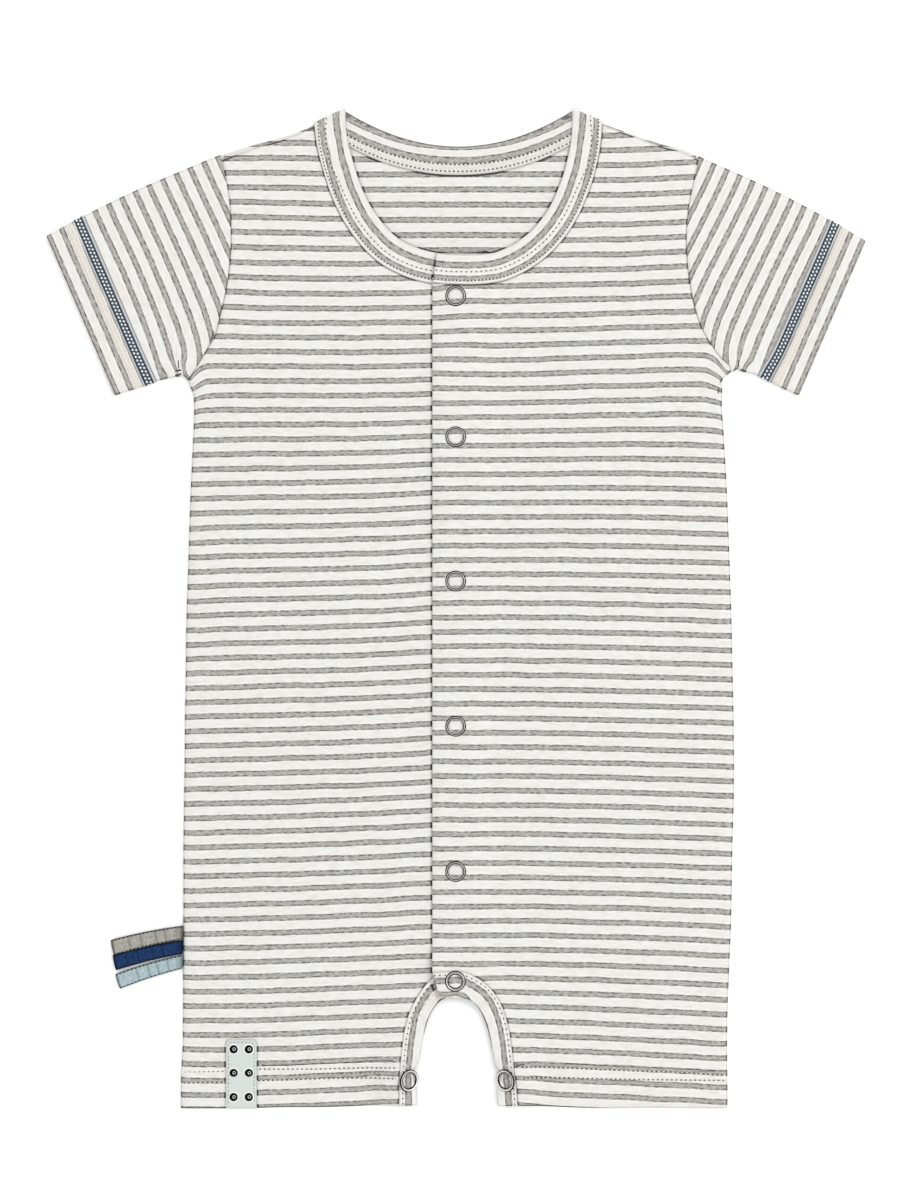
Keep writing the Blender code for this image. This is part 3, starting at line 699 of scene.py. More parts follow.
# The painted shade of the crease beside the ledge is clear near the side seam only. A larger value is
# fainter.
HEM_CREASE_FROM_X = 92.0
HEM_CREASE_FAINT = 0.45
HEM_CREASE_CLEAR = 0.1
LAP_SHADE = 0.35
PATCH_SHADE = 0.25
PATCH_CORNER = 2.0
CENTRE_CUTS = (
    # y, outer, bow
    (-120, 0.38, 1.6), (-60, 0.52, 1), (0, 0.68, 1), (60, 0.84, 1), (110, 0.95, 1.4),
)
FRONT_NECK_CUTS = (
    # angle, outer, bow
    (0, 1.08, 2.2), (10, 1.16, 2), (18, 1.25, 1.8), (30, 1.36, 1.5), (42, 1.5, 1.3),
    (56, 1.64, 1.1), (70, 1.77, 1), (80, 1.89, 1), (90, 2, 1),
)
CROTCH_CORNER = (0.27, 2.4)
NECK_CORNER = (1.00, 2.4)
LEG_STUD_Y = -216.3
LEG_STUD_TILT = math.radians(24)
LEG_STUD_REACH = 13.0
LEG_STUD_LIFT = 2.1
INSEAM_BAND_WIDTH = 8.7
INSEAM_BAND_Z = 3.35
CROTCH_LIFT = 3.0

# How the stripes of each front lie. tilt, bow and twist are their rise in millimetres, 50 mm out
# from the middle of the front, by the first, second and third power of the distance.
FRONT_STRIPES = {
    # y, tilt, bow, twist
    -1: (
        (-200, 1.9, 0.4, -0.5), (-135, 1.6, 0.4, 0), (-75, 1.3, 0.4, 0.3), (5, 1.05, 0.35, 0.5),
        (65, 0.6, 0.4, 0.5), (105, -0.3, 0.2, 0.5), (145, -0.25, 1, -0.3), (190, -1, 0.3, 0.3),
        (206, -0.9, -1.5, 0),
    ),
    1: (
        (-200, -2.1, -0.2, 0), (-150, -1.1, -0.5, 0), (-30, -0.9, -0.3, 0),
        (15, -0.75, -0.4, 0.1), (56, 0.1, -0.5, -0.3), (96, 1.15, -0.4, -0.5),
        (116, 1.6, -0.2, -0.7), (156, 0.9, 0.6, 0.6), (190, 0.2, 1.5, 0),
    ),
}
STRIPE_MIDDLE_X = {-1: -68.0, 1: 60.0}
# The stripe that meets the middle here, and the repeats below and above it
STRIPE_START = {-1: (138.6, 6.665, 6.92), 1: (136.0, 6.657, 6.85)}
UNDERARM_DROOP = {
    # y, fall of a stripe at the side seam
    -1: (
        (78, 0), (91, 0.8), (97.4, 1.8), (102.2, 3.7), (107, 5.6), (112, 6), (122, 2), (132, 0),
    ),
    1: (
        (70, 0), (84, 0.8), (95, 1.5), (101, 2.3), (105, 5.4), (109, 7.8), (114, 8.2), (122, 4.5),
        (130, 1), (138, 0),
    ),
}
DROOP_REACH = {-1: 9.5, 1: 11.5}
# Places where a front's stripes have been pushed up. A shift grows over its first range of x,
# outwards from the middle, and over each range of y.
STRIPE_SHIFTS = {
    # rise, x, ranges of y
    -1: (
        (0.9, (92, 106), ((-209.5, -213.5),)),
        (-0.7, (48, 34), ((-209.5, -213.5),)),
    ),
    1: (
        (0.6, (2, -11), ((112, 128),)),
        (-0.55, (80, 104), ((78, 92), (126, 116))),
        (-1.5, (46, 27), ((-210, -217),)),
    ),
}
FRONT_FOLDS = {
    # x, y, direction, length, width, height, bend
    -1: (
        (-112, 78, 86, 62, 5.0, -0.55, 2),
        (-104, 84, 82, 50, 5.0, 0.35, 2),
        (-98, 126, -38, 44, 4.5, -0.40, 3),
        (-90, 118, -34, 40, 5.0, 0.35, 3),
        (-70, -70, 12, 90, 11, 0.30, 5),
        (-95, -150, 74, 80, 9, -0.30, 3),
        (-45, 20, -20, 80, 12, 0.25, 6),
        (-52, -188, 60, 40, 7, -0.30, 2),
    ),
    1: (
        (117, 80, 93, 66, 4.5, -0.55, -2),
        (109, 84, 96, 50, 5.0, 0.35, -2),
        (98, 130, 40, 46, 4.5, -0.40, -3),
        (90, 120, 36, 40, 5.0, 0.35, -3),
        (64, -40, -14, 90, 11, 0.30, -5),
        (92, -146, 104, 84, 9, -0.30, -3),
        (48, 40, 18, 80, 12, 0.25, -6),
        (50, -186, 118, 42, 7, -0.30, -2),
    ),
}


def front_arch(side, edge="seam", further=0.0):
    """Curve of a front's inseam seam, or of its band's free edge, by the angle from the hem."""
    base = arch_seam if edge == "seam" else arch_free_edge
    column = 0 if edge == "seam" else 1

    def curve(angle):
        turn = min(angle, 90.0) if side > 0 else angle
        ahead, behind = base(turn + 0.4), base(max(0.0, turn - 0.4))
        tangent = (ahead - behind).normalized()
        ease = read_table(ARCH_EASE[side], turn)[column] + further
        point = base(turn) + Vector((-tangent.y, tangent.x)) * ease
        if angle > turn:
            across = base(angle).x
            point = Vector((across, point.y - TAB_RISE[edge] * across))
        return point
    return curve


def angle_where(curve, x):
    """Angle at which a curve of angles passes x."""
    low, high = (-60.0, 90.0) if curve(80).x > curve(0).x else (150.0, 0.0)
    for _ in range(40):
        middle = (low + high) / 2
        if curve(middle).x < x:
            low = middle
        else:
            high = middle
    return low


def front_rows(side):
    """Rows of a front from its hem up round the arch, the placket edge and the neckline."""
    edge_x = LAP_EDGE_X[side]
    arch = front_arch(side)
    corner = angle_where(arch, edge_x)
    cuts = (*ARCH_CUTS, (corner, *CROTCH_CORNER))
    rows = trace_cuts(arch, cuts, ROW_SPACING, close_start=True)
    low = (arch(corner).y, *CROTCH_CORNER)
    seam = neck_seam(side)
    start = angle_where(seam, edge_x)
    high = (seam(start).y, *NECK_CORNER)
    rows += trace_cuts(lambda y: Vector((edge_x, y)), (low, *CENTRE_CUTS, high), ROW_SPACING)[1:]
    cuts = ((start, *NECK_CORNER), *FRONT_NECK_CUTS)
    neck = trace_cuts(seam, cuts, ROW_SPACING, close_end=True)[1:]
    rows += neck[:-SHOULDER_ROWS]
    for k, (inner, outer, bow) in enumerate(neck[-SHOULDER_ROWS:]):
        drop = SHOULDER_DROP[side] * ((k + 1) / SHOULDER_ROWS) ** 2
        rows.append((inner - drop / 5, outer - drop, bow))
    return rows


def leg_stud_reach(y):
    """1 beside the leg stud, fading to 0 up the arch."""
    return math.exp(-((y - LEG_STUD_Y) / LEG_STUD_REACH) ** 2)


def inseam_heights(angle, y, crosses):
    """Upper faces of the front inseam band at its seam and at its free edge."""
    crossing = smooth(angle, 50, 76) if crosses else 0.0
    middle = INSEAM_BAND_Z + CROTCH_LIFT * crossing + LEG_STUD_LIFT * leg_stud_reach(y)
    slope = INSEAM_BAND_WIDTH / 2 * math.tan(LEG_STUD_TILT) * leg_stud_reach(y)
    return middle + slope, middle - slope


arch_tree = {side: seam_finder([front_arch(side)(angle) for angle in ARCH_TREE_ANGLES])
             for side in (-1, 1)}
neck_lines = {side: [(side * p.x, p.y) for p in dense(neck_seam(side), -20, 90)]
              for side in (-1, 1)}
neck_tree = {side: seam_finder(line) for side, line in neck_lines.items()}
armhole_tree = {side: seam_finder([(side * p.x, p.y) for p in dense(armhole, 0, 1)])
                for side in (-1, 1)}


def shoulder_line(side):
    """Sewn top edge of a front, from the neckband to the shoulder tip."""
    inner = neck_line(side, 90) - SHOULDER_DROP[side] / 5
    outer = SHOULDER_TIP - SHOULDER_DROP[side]
    return [(side * inner.lerp(outer, k / 200).x, inner.lerp(outer, k / 200).y)
            for k in range(201)]


def front_height(x, y, side):
    """Upper face of a front at a point."""
    out = side * x
    point = (x, y, 0)
    _, index, from_arch = arch_tree[side].find((out, y, 0))
    angle = ARCH_TREE_ANGLES[index]
    seam_z, _ = inseam_heights(min(angle, 90), arch_seam(angle).y, side > 0)
    lift = (seam_z - BELOW_BAND - FRONT_TOP_Z) * math.exp(-(from_arch / ARCH_LIFT_REACH) ** 2)
    if side < 0:
        lift *= 1 - smooth(angle, 40, 60)
    lap = 0.0
    if side > 0:
        lap = LAP_RISE * (1 - smooth(out, 4, 21)) * smooth(y, -178, -160)
        lap *= 1 - max(0.0, lift) / CROTCH_RISE
    z = FRONT_TOP_Z + lift + lap
    from_hem = y - HEM_Y
    still = smooth(out, 0, 30) * smooth(from_hem, 18, 40) * smooth(from_arch, 4, 16)
    z += still * (0.28 * ripple(x, y, 34, 1.0) + 0.12 * ripple(x, y, 11, 2.0) + 0.1)
    z += smooth(from_hem, 6, 26) * soft_folds(x, y, FRONT_FOLDS[side])
    z -= roll_off(neck_tree[side].find(point)[2], *NECK_ROLL)
    z -= roll_off(armhole_tree[side].find(point)[2], *ARMHOLE_ROLL)
    if side > 0:
        z -= roll_off(out - LAP_EDGE_X[side], *LAP_ROLL) * lap / LAP_RISE
    if y < UNDERARM.y:
        z -= roll_off(half_width(y) - out, *SIDE_ROLL)
    z += HEM_STEP * (1 - smooth(from_hem, HEM_DEPTH - 2.2, HEM_DEPTH))
    for row in HEM_ROWS:
        z -= STITCH_DENT * math.exp(-((from_hem - row) / STITCH_DENT_REACH) ** 2)
    return max(z - roll_off(from_hem, *HEM_ROLL), FRONT_LOWEST_Z)


def front_threads(x, y, side):
    """Place along the stripes of a front, and stripes counted down it."""
    tilt, bow, twist = read_table(FRONT_STRIPES[side], y)
    out = (x - STRIPE_MIDDLE_X[side]) / 50
    level = y - (tilt * out + bow * out ** 2 + twist * out ** 3)
    edge = half_width(min(y, UNDERARM.y)) - side * x
    near = max(0.0, 1 - max(0.0, edge) / DROOP_REACH[side]) ** 2.2
    level += read_table(UNDERARM_DROOP[side], y)[0] * near
    for rise, across, heights in STRIPE_SHIFTS[side]:
        level += rise * smooth(side * x, *across) * math.prod(smooth(y, *span) for span in heights)
    level += 0.3 * ripple(x, y, 14, 6.0) + 0.1 * ripple(x, y, 5, 7.0)
    start, below, above = STRIPE_START[side]
    return x, (start - level) / (below if level < start else above)


def outside_patch(at):
    """Distance of a point from the patch's rounded outline, negative under the patch."""
    middle = (patch_low + patch_high) / 2
    aside = abs(at.x - middle.x) - (middle.x - patch_low.x) + PATCH_CORNER
    above = at.y - patch_high.y + PATCH_CORNER
    if max(aside, above) > 0:
        return math.hypot(max(0.0, aside), max(0.0, above)) - PATCH_CORNER
    return max(aside, above) - PATCH_CORNER


for side, name in ((-1, "front_right"), (1, "front_left")):
    bm = flat_panel(front_rows(side), FRONT_COLUMNS)
    if side < 0:
        bmesh.ops.scale(bm, vec=(-1, 1, 1), verts=bm.verts)
    edges = [*dense(front_arch(side), 0, 130), *dense(armhole, 0, 1),
             *dense(outer_edge, 0, 1), *dense(lambda x: Vector((x, HEM_Y)), 28, 126)]
    seams = seam_finder(neck_lines[side], [(side * p.x, p.y) for p in edges],
                        shoulder_line(side))

    # The jersey paints shade along this distance: at seams and edges, along the hem's crease, and
    # beside the lapped edge and the patch.
    def from_seam(at, lies_at):
        """Distance to the nearest seam or covering edge, negative where something covers it."""
        ledge_y, narrowing = read_table(HEM_LEDGE[side], side * at.x)
        ledge = (at.y - ledge_y) * narrowing
        to_armhole = armhole_tree[side].find((at.x, at.y, 0))[2]
        to_seam = seams.find((at.x, at.y, 0))[2]
        gaps = [to_seam + (0.1 if to_armhole < to_seam + 0.05 else 0.0)]
        faint = HEM_CREASE_FAINT if abs(at.x) < HEM_CREASE_FROM_X else HEM_CREASE_CLEAR
        gaps.append(ledge + math.copysign(faint, ledge))
        if side < 0:
            gaps.append(LAP_EDGE_X[1] - lies_at.x - LAP_SHADE)
            gaps.append(outside_patch(lies_at) - PATCH_SHADE)
        return min(gaps, key=abs)

    width, length, area = lay_cloth(
        bm, lambda x, y: front_height(x, y, side), lambda x, y: front_threads(x, y, side),
        from_seam)
    piece = add_piece(f"{name}_jersey", bm, [jersey], "striped_jersey", f"{name}_panel")
    add_wall(piece)

# ---- Sleeves ------------------------------------------------------------------------------
# Short set-in sleeves of the same jersey, each a tube that lies flattened. Its stripes run
# round the arm. The hem at the cuff is turned up and held by a cream cover stitch.

CUFF_TOP = {-1: Vector((189.75, 172.2)), 1: Vector((187.6, 169.9))}
CUFF_BOTTOM = {-1: Vector((157.95, 98.7)), 1: Vector((156.8, 98.8))}
CUFF_ACROSS = {side: (CUFF_BOTTOM[side] - CUFF_TOP[side]).normalized() for side in (-1, 1)}
CUFF_INWARD = {side: Vector((way.y, -way.x)) for side, way in CUFF_ACROSS.items()}
CUFF_WIDTH = {side: (CUFF_BOTTOM[side] - CUFF_TOP[side]).length for side in (-1, 1)}
SLEEVE_FLOOR_Z = 0.08
SLEEVE_TOP_Z = 2.3
SLEEVE_TOP_BOW = 2.0
CUFF_HEM_DEPTH = 13.4
CUFF_HEM_STEP = 0.55
CUFF_ROLL = (0.40, 0.9)
SLEEVE_HEAD_ROLL = (0.75, 1.7)
UPPER_ARM_FULLNESS = 1.2
SLEEVE_ROWS = 46
# Stripes counted from the cuff at distances in from it. The cover stitch and the woven
# chain hide the stretch in between, where the hem's raw edge lies under the sleeve.
SLEEVE_STRIPES = {
    # mm from the cuff, stripe
    -1: (
        (-1, -0.44), (1.3, 0), (8, 1), (10.6, 1.42), (22, 1.52), (25.3, 2), (87, 11), (100.4, 13),
    ),
    1: (
        (-1, -0.43), (1.7, 0), (7.9, 1), (10.4, 1.4), (16, 1.5), (19.3, 2), (25.8, 3), (45.7, 6),
        (84.8, 12), (98, 14),
    ),
}
# How far the stripes bow away from the cuff: they run down to the pinch under the arm
SLEEVE_BOW = {
    # mm across from the top fold, near the cuff, near the armhole
    -1: (
        (3, 0, 0), (14, 0.3, 0.3), (28, 0.7, 0.7), (44, 0.5, 0.8), (52, 0.3, 0.7),
        (60, -0.1, 0.5), (66, -0.6, -0.1), (71, -1.1, -0.7), (75, -1.7, -1.7), (79, -2.3, -3.4),
        (84, -3, -7),
    ),
    1: (
        (3, 0, 0), (14, 0.5, 0.5), (28, 1.1, 1.3), (44, 1.5, 2.3), (60, 1.6, 2.5), (66, 1.4, 1.8),
        (71, 0.9, 0.3), (75, 0.8, -1.6), (79, 0.3, -4), (84, 0, -8),
    ),
}
# How far the sleeve's lower edge lies above the straight line from its cuff to the underarm
UNDER_RISE = {
    # share of the way, mm
    -1: (
        (0, 0), (0.2, 0.6), (0.37, 1.1), (0.54, 1.9), (0.7, 2.2), (0.94, 2.4), (1, 0),
    ),
    1: (
        (0, 0), (0.2, 0.8), (0.4, 1.5), (0.57, 2.4), (0.75, 2.8), (0.92, 2.7), (1, 0),
    ),
}
SLEEVE_FOLDS = {
    # x, y, direction, length, width, height, bend
    -1: (
        (115, 171, 60, 30, 3.6, 0.45, 2),
        (120, 165, 58, 30, 3.6, -0.40, 2),
        (140, 125, -35, 46, 5.0, -0.40, 3),
        (134, 134, -38, 50, 6.0, 0.35, 3),
        (160, 150, 66, 60, 9.0, 0.25, 4),
    ),
    1: (
        (119, 166, 62, 34, 4.2, 0.35, -2),
        (141, 124, -33, 46, 5.0, -0.40, -3),
        (135, 135, -36, 50, 6.0, 0.35, -3),
        (162, 146, 68, 60, 9.0, 0.25, -4),
    ),
}


def sleeve_stations():
    """Stations round a flattened sleeve: (share from the top fold, height -1 to 1, lean outwards)."""
    turns = (-90, -55, -20, 0, 20, 55, 90)
    radius = (SLEEVE_TOP_Z - SLEEVE_FLOOR_Z) / 2 / CUFF_WIDTH[1]
    turned = [(math.cos(math.radians(turn)), math.sin(math.radians(turn))) for turn in turns]
    upper, lower = 40, 20
    stations = [(radius * (1 - cosine), sine, -cosine) for cosine, sine in turned]
    stations += [(radius + (1 - 2 * radius) * k / upper, 1.0, 0.0) for k in range(1, upper)]
    stations += [(1 - radius * (1 - cosine), sine, cosine) for cosine, sine in reversed(turned)]
    stations += [(radius + (1 - 2 * radius) * k / lower, -1.0, 0.0)
                 for k in range(lower - 1, 0, -1)]
    return stations + stations[:1]


def sleeve_length(side, share):
    """Distance from the cuff line to the armhole, at a place across the sleeve."""
    return (armhole(share) - CUFF_TOP[side]).dot(CUFF_INWARD[side])


def sleeve_point(side, station, inward, lift=0.0):
    """Point on a sleeve's outer face, or lift above it. inward: distance from the cuff line."""
    share, level, lean = station
    start = CUFF_TOP[side].lerp(CUFF_BOTTOM[side], share)
    span = sleeve_length(side, share)
    along = inward / span
    place = start.lerp(armhole(share), along) + CUFF_ACROSS[side] * lean * lift
    bow = SLEEVE_TOP_BOW * math.sin(math.pi * min(1, max(0, along))) * max(0.0, 1 - 2 * share) ** 2
    place -= CUFF_ACROSS[side] * bow
    place.y += read_table(UNDER_RISE[side], along)[0] * smooth(share, 0.55, 1.0) ** 2
    middle = (SLEEVE_TOP_Z + SLEEVE_FLOOR_Z) / 2
    half = SLEEVE_TOP_Z - middle
    if level > 0:
        hem = 1 - smooth(inward, CUFF_HEM_DEPTH - 0.8, CUFF_HEM_DEPTH + 0.6)
        half += level * CUFF_HEM_STEP * hem
        still = smooth(share, 0, 0.1) * (1 - smooth(share, 0.93, 1.0))
        still *= smooth(inward, 18, 34) * smooth(span - inward, 1, 7)
        uneven = 0.2 * ripple(place.x, place.y, 26, 4.0) + soft_folds(*place, SLEEVE_FOLDS[side])
        half += level * still * uneven
    half -= roll_off(inward, *CUFF_ROLL) + roll_off(span - inward, *SLEEVE_HEAD_ROLL)
    return settle(Vector((side * place.x, place.y, middle + level * (half + lift))))


def sleeve_threads(side, across, inward):
    """Place along the stripes of a sleeve, and stripes counted in from its cuff."""
    near, far = read_table(SLEEVE_BOW[side], across)
    bow = near + (far - near) * min(1.2, max(0.0, (inward - 26) / 30))
    bow *= smooth(inward, 8, 26)
    return across, read_table(SLEEVE_STRIPES[side], inward - bow)[0]


# Where the end of the underarm seam draws the sleeve's stripes together
PINCHES = {
    # x, y, strength
    -1: (128.6, 110.0, 1.05),
    1: (128.6, 111.5, 0.9),
}
stations = sleeve_stations()
for side, name in ((-1, "sleeve_right"), (1, "sleeve_left")):
    bm = bmesh.new()

    def place_on_sleeve(column, row):
        span = sleeve_length(side, stations[column][0])
        return sleeve_point(side, stations[column], edge_run(row, SLEEVE_ROWS, span))

    def mark_sleeve(column, row, at):
        flat = Vector((side * at.x, at.y)) - CUFF_TOP[side]
        across, inward = flat.dot(CUFF_ACROSS[side]), flat.dot(CUFF_INWARD[side])
        pinch_x, pinch_y, strength = PINCHES[side]
        pinch = Vector((pinch_x, pinch_y)) - CUFF_TOP[side]
        near = strength * math.exp(-(flat - pinch).length_squared / 25)
        drawn_in = near * (inward - pinch.dot(CUFF_INWARD[side]))
        share = stations[column][0]
        to_fold = min(share, 1 - share) * CUFF_WIDTH[side] + 0.15
        to_armhole = armhole_tree[side].find((at.x, at.y, 0))[2]
        # Painted shade runs along the armhole seam, the folds and the cuff edge.
        gap = min(to_armhole + 0.3, to_fold, max(0.0, inward) + 0.1)
        return (*sleeve_threads(side, across, inward + drawn_in), gap)

    grid(bm, len(stations), SLEEVE_ROWS, place_on_sleeve, mark_sleeve)
    area = sum(face.calc_area() for face in bm.faces)
    bmesh.ops.remove_doubles(bm, verts=bm.verts, dist=0.002)
    bmesh.ops.recalc_face_normals(bm, faces=bm.faces)
    sleeve = add_piece(f"{name}_jersey", bm, [jersey], "striped_jersey", name)
    add_wall(sleeve)
    width = 2 * CUFF_WIDTH[side] * UPPER_ARM_FULLNESS * MM

# ---- Cuff trims ---------------------------------------------------------------------------
# Round each sleeve run a cream cover stitch, which holds the hem, and a chain of navy cotton:
# two thick rails with a net between them that leaves two rows of white eyes.

TRIM_PLACES = {
    # mm from the cuff: start and end of the cover stitch, then of the chain
    -1: (9.5, 12.8, 14.5, 18.4),
    1: (9.3, 12.8, 14.2, 17.9),
}
COVER_SPACING = 1.25
COVER_STITCH_SIZE = (0.95, 0.36, 0.24)
COVER_HOLE_SIZE = (0.42, 0.34, 0.22)
EYE_SPACING = 1.8
EYE_SIZE = (1.45, 1.12, 0.36)
STRAND = 0.5
THREAD_SIDES = 6
LOWEST_THREAD_Z = 0.03


def thread_finish(name, colour, shade, roughness=0.75, specular=0.5, sheen=0.12):
    """Spun sewing thread: round strands with a soft shine along them, in small light and dark."""
    made, tree, shader = start_material(name, roughness, specular=specular, sheen_weight=sheen)
    place = add_node(tree, "TexCoord", output="Object")
    twist = add_node(tree, "TexNoise", {"Vector": place, "Scale": 1 / (STRAND * MM), "Detail": 2.0})
    share = add_node(tree, "MapRange", {0: twist, 1: 0.35, 2: 0.65})
    mixed = add_node(tree, "Mix", {0: share, 6: linear_colour(shade), 7: linear_colour(colour)},
                     output=2, data_type="RGBA")
    tree.links.new(mixed, shader.inputs["Base Color"])
    roughen(tree, shader, twist, 0.4, 0.1)
    return made


cream_thread = thread_finish("cream_polyester_thread", "D8D4CC", "CAC5BC")
pale_thread = thread_finish("off_white_polyester_thread", "E2DFDA", "D3CFC8")
# Painted shade: dots of these two finishes stand for the shadows in needle holes
cream_hole_shade_finish = thread_finish("needle_holes_painted_shade_on_cream", "B3A89E", "9C9188")
hole_shade_finish = thread_finish("needle_hole_shadow", "5A534D", "3F3935")
underarm_mark_finish = thread_finish("dark_underarm_seam_end_mark", "302B27", "1C1916")
navy_thread = thread_finish("navy_cotton_cord", "25303A", "10181F")
net_thread = thread_finish("navy_cotton_net", "344858", "1F2F3C")
white_thread = thread_finish("white_cotton_thread", "E6E8E9", "D2D6D8")
pale_blue_thread = thread_finish("pale_blue_thread_edge", "C9D2D7", "B0BAC1")
grey_thread = thread_finish("grey_marl_thread_edge", "9E9B98", "827F7C")


def walk(path, spacing, start):
    """Points and directions at even steps along a path of points."""
    found = []
    travelled, due = 0.0, start
    for before, after in zip(path, path[1:]):
        step = (after - before).length
        while step > 0 and due <= travelled + step:
            found.append((before.lerp(after, (due - travelled) / step), (after - before) / step))
            due += spacing
        travelled += step
    return found


def stitch_row(bm, path, spacing, size, finish=0, start=0.0, turn=0.0):
    """Sew a row along a path: one low bead of thread per stitch. size: length, width, height."""
    for place, direction in walk(path, spacing, start):
        matrix = Matrix.Translation(place) @ direction.to_track_quat("X", "Z").to_matrix().to_4x4()
        matrix = matrix @ Matrix.Rotation(turn, 4, "Z") @ Matrix.Diagonal((*size, 1))
        made = bmesh.ops.create_icosphere(bm, subdivisions=1, radius=0.5, matrix=matrix)
        if finish:
            for face in {face for vertex in made["verts"] for face in vertex.link_faces}:
                face.material_index = finish


STITCH_SIZE = (1.2, 0.62, 0.28)
NEEDLE_HOLE_SIZE = (0.92, 0.86, 0.28)


def sewn_row(bm, path, spacing, start=0.0):
    """Sew a row of cream stitches, with a dot of painted shade for the needle hole between each two."""
    stitch_row(bm, path, spacing, STITCH_SIZE, 0, start)
    stitch_row(bm, path, spacing, NEEDLE_HOLE_SIZE, 1, start + spacing / 2)


def thread_tube(bm, path, radius, finish=0, flatten=1.0):
    """Lay a thread along a path, as a closed tube where the path returns to its start."""
    count = len(path)

    def place(column, row):
        before, after = path[max(0, row - 1)], path[min(count - 1, row + 1)]
        if path[0] == path[-1] and row in (0, count - 1):
            before, after = path[-2], path[1]
        turned = (after - before).to_track_quat("X", "Z")
        angle = 2 * math.pi * column / THREAD_SIDES
        around = Vector((0, math.cos(angle) * radius, math.sin(angle) * radius * flatten))
        return path[row] + turned @ around

    made = grid(bm, THREAD_SIDES + 1, count, place)
    for face in {face for vertex in made for face in vertex.link_faces}:
        face.material_index = finish
    bmesh.ops.remove_doubles(bm, verts=made, dist=0.001)


# Dark marks where the underarm seams end: short runs of dark beads, from point to point
DARK_MARK_SPACING = 0.75
UNDERARM_DARK_MARKS = {
    # x, y, x, y, width of the mark
    -1: (
        (-128.9, 114.9, -128.8, 111.2, 0.60),
        (-129.9, 110.0, -127.7, 110.4, 1.10),
        (-130.4, 107.7, -127.9, 108.6, 1.00),
    ),
    1: (
        (129.0, 114.9, 128.8, 112.1, 0.65),
        (129.5, 110.4, 132.6, 109.5, 0.65),
        (128.1, 111.4, 126.7, 110.0, 0.50),
        (121.3, 106.0, 120.8, 104.6, 0.50),
        (119.9, 102.0, 119.6, 99.9, 0.55),
    ),
}


def sleeve_ring(side, inward, lift):
    """Closed path round a sleeve at one distance from its cuff."""
    return [sleeve_point(side, station, inward, lift) for station in stations]


def trim_ground(bm, side, start, end, rim, lift):
    """Lay a raised strip round a sleeve, from one distance from its cuff to another."""
    inwards = (start, start + rim, end - rim, end)
    lifts = (-0.05, lift, lift, -0.05)
    grid(bm, len(stations), len(inwards),
         lambda i, j: sleeve_point(side, stations[i], inwards[j], lifts[j]))


def add_trim(name, bm, finishes):
    """Close a trim's threads, keep them off the table, and make them a piece."""
    bmesh.ops.remove_doubles(bm, verts=bm.verts, dist=0.001)
    bmesh.ops.recalc_face_normals(bm, faces=bm.faces)
    for vertex in bm.verts:
        vertex.co.z = max(vertex.co.z, LOWEST_THREAD_Z)
    add_piece(name, bm, finishes, "striped_jersey")


for side, name in ((-1, "sleeve_right"), (1, "sleeve_left")):
    bm = bmesh.new()
    for x0, y0, x1, y1, mark_width in UNDERARM_DARK_MARKS[side]:
        path = [Vector((x0, y0, SLEEVE_TOP_Z)), Vector((x1, y1, SLEEVE_TOP_Z))]
        stitch_row(bm, path, DARK_MARK_SPACING, (1.05, mark_width, 0.5), start=0.4)
    add_piece(f"{name}_seam_end_mark", bm, [underarm_mark_finish], "striped_jersey")
    stitch_start, stitch_end, chain_start, chain_end = TRIM_PLACES[side]
    bm = bmesh.new()
    trim_ground(bm, side, stitch_start, stitch_end, 0.2, 0.12)
    middle = (stitch_start + stitch_end) / 2
    # Two rows of painted shade for the needle holes
    for away in (-0.85, 0.85):
        ring = sleeve_ring(side, middle + away, 0.10)
        stitch_row(bm, ring, COVER_SPACING, COVER_HOLE_SIZE, 1, start=0.6 + away / 2)
    for away, lean in ((-1.25, 0.5), (-0.45, -0.5), (0.45, 0.5), (1.25, -0.5)):
        ring = sleeve_ring(side, middle + away, 0.12)
        stitch_row(bm, ring, COVER_SPACING, COVER_STITCH_SIZE, turn=lean)
    add_trim(f"{name}_cover_stitch", bm, [cream_thread, cream_hole_shade_finish])

    bm = bmesh.new()
    trim_ground(bm, side, chain_start - 0.1, chain_end + 0.1, 0.3, 0.14)
    for face in bm.faces:
        face.material_index = 1
    for inward in (chain_start + 0.3, chain_end - 0.3):
        thread_tube(bm, sleeve_ring(side, inward, 0.22), 0.36)
    middle = (chain_start + chain_end) / 2
    for away, start in ((-0.78, 0.0), (0.78, EYE_SPACING / 2)):
        ring = sleeve_ring(side, middle + away, 0.20)
        stitch_row(bm, ring, EYE_SPACING, EYE_SIZE, 2, start=start, turn=0.35)
    # The pale and grey threads that edge the chain
    for inward, lift, radius, finish, flatten in (
            (chain_end + 0.55, 0.04, 0.40, 3, 0.6),
            (chain_end + 1.25, 0.00, 0.36, 4, 0.5),
            (chain_start - 0.45, 0.04, 0.34, 3, 0.6),
            (chain_start - 1.05, 0.00, 0.40, 4, 0.5)):
        thread_tube(bm, sleeve_ring(side, inward, lift), radius, finish, flatten=flatten)
    add_trim(f"{name}_chain", bm,
             [navy_thread, net_thread, white_thread, pale_blue_thread, grey_thread])

# ---- Neckband -----------------------------------------------------------------------------
# A doubled strip of the same jersey, cut along its stripes and folded over the neck edge.
# The left front's end laps over the right's. Across the back it shows its inner face, with
# a cream cover stitch over the seam.

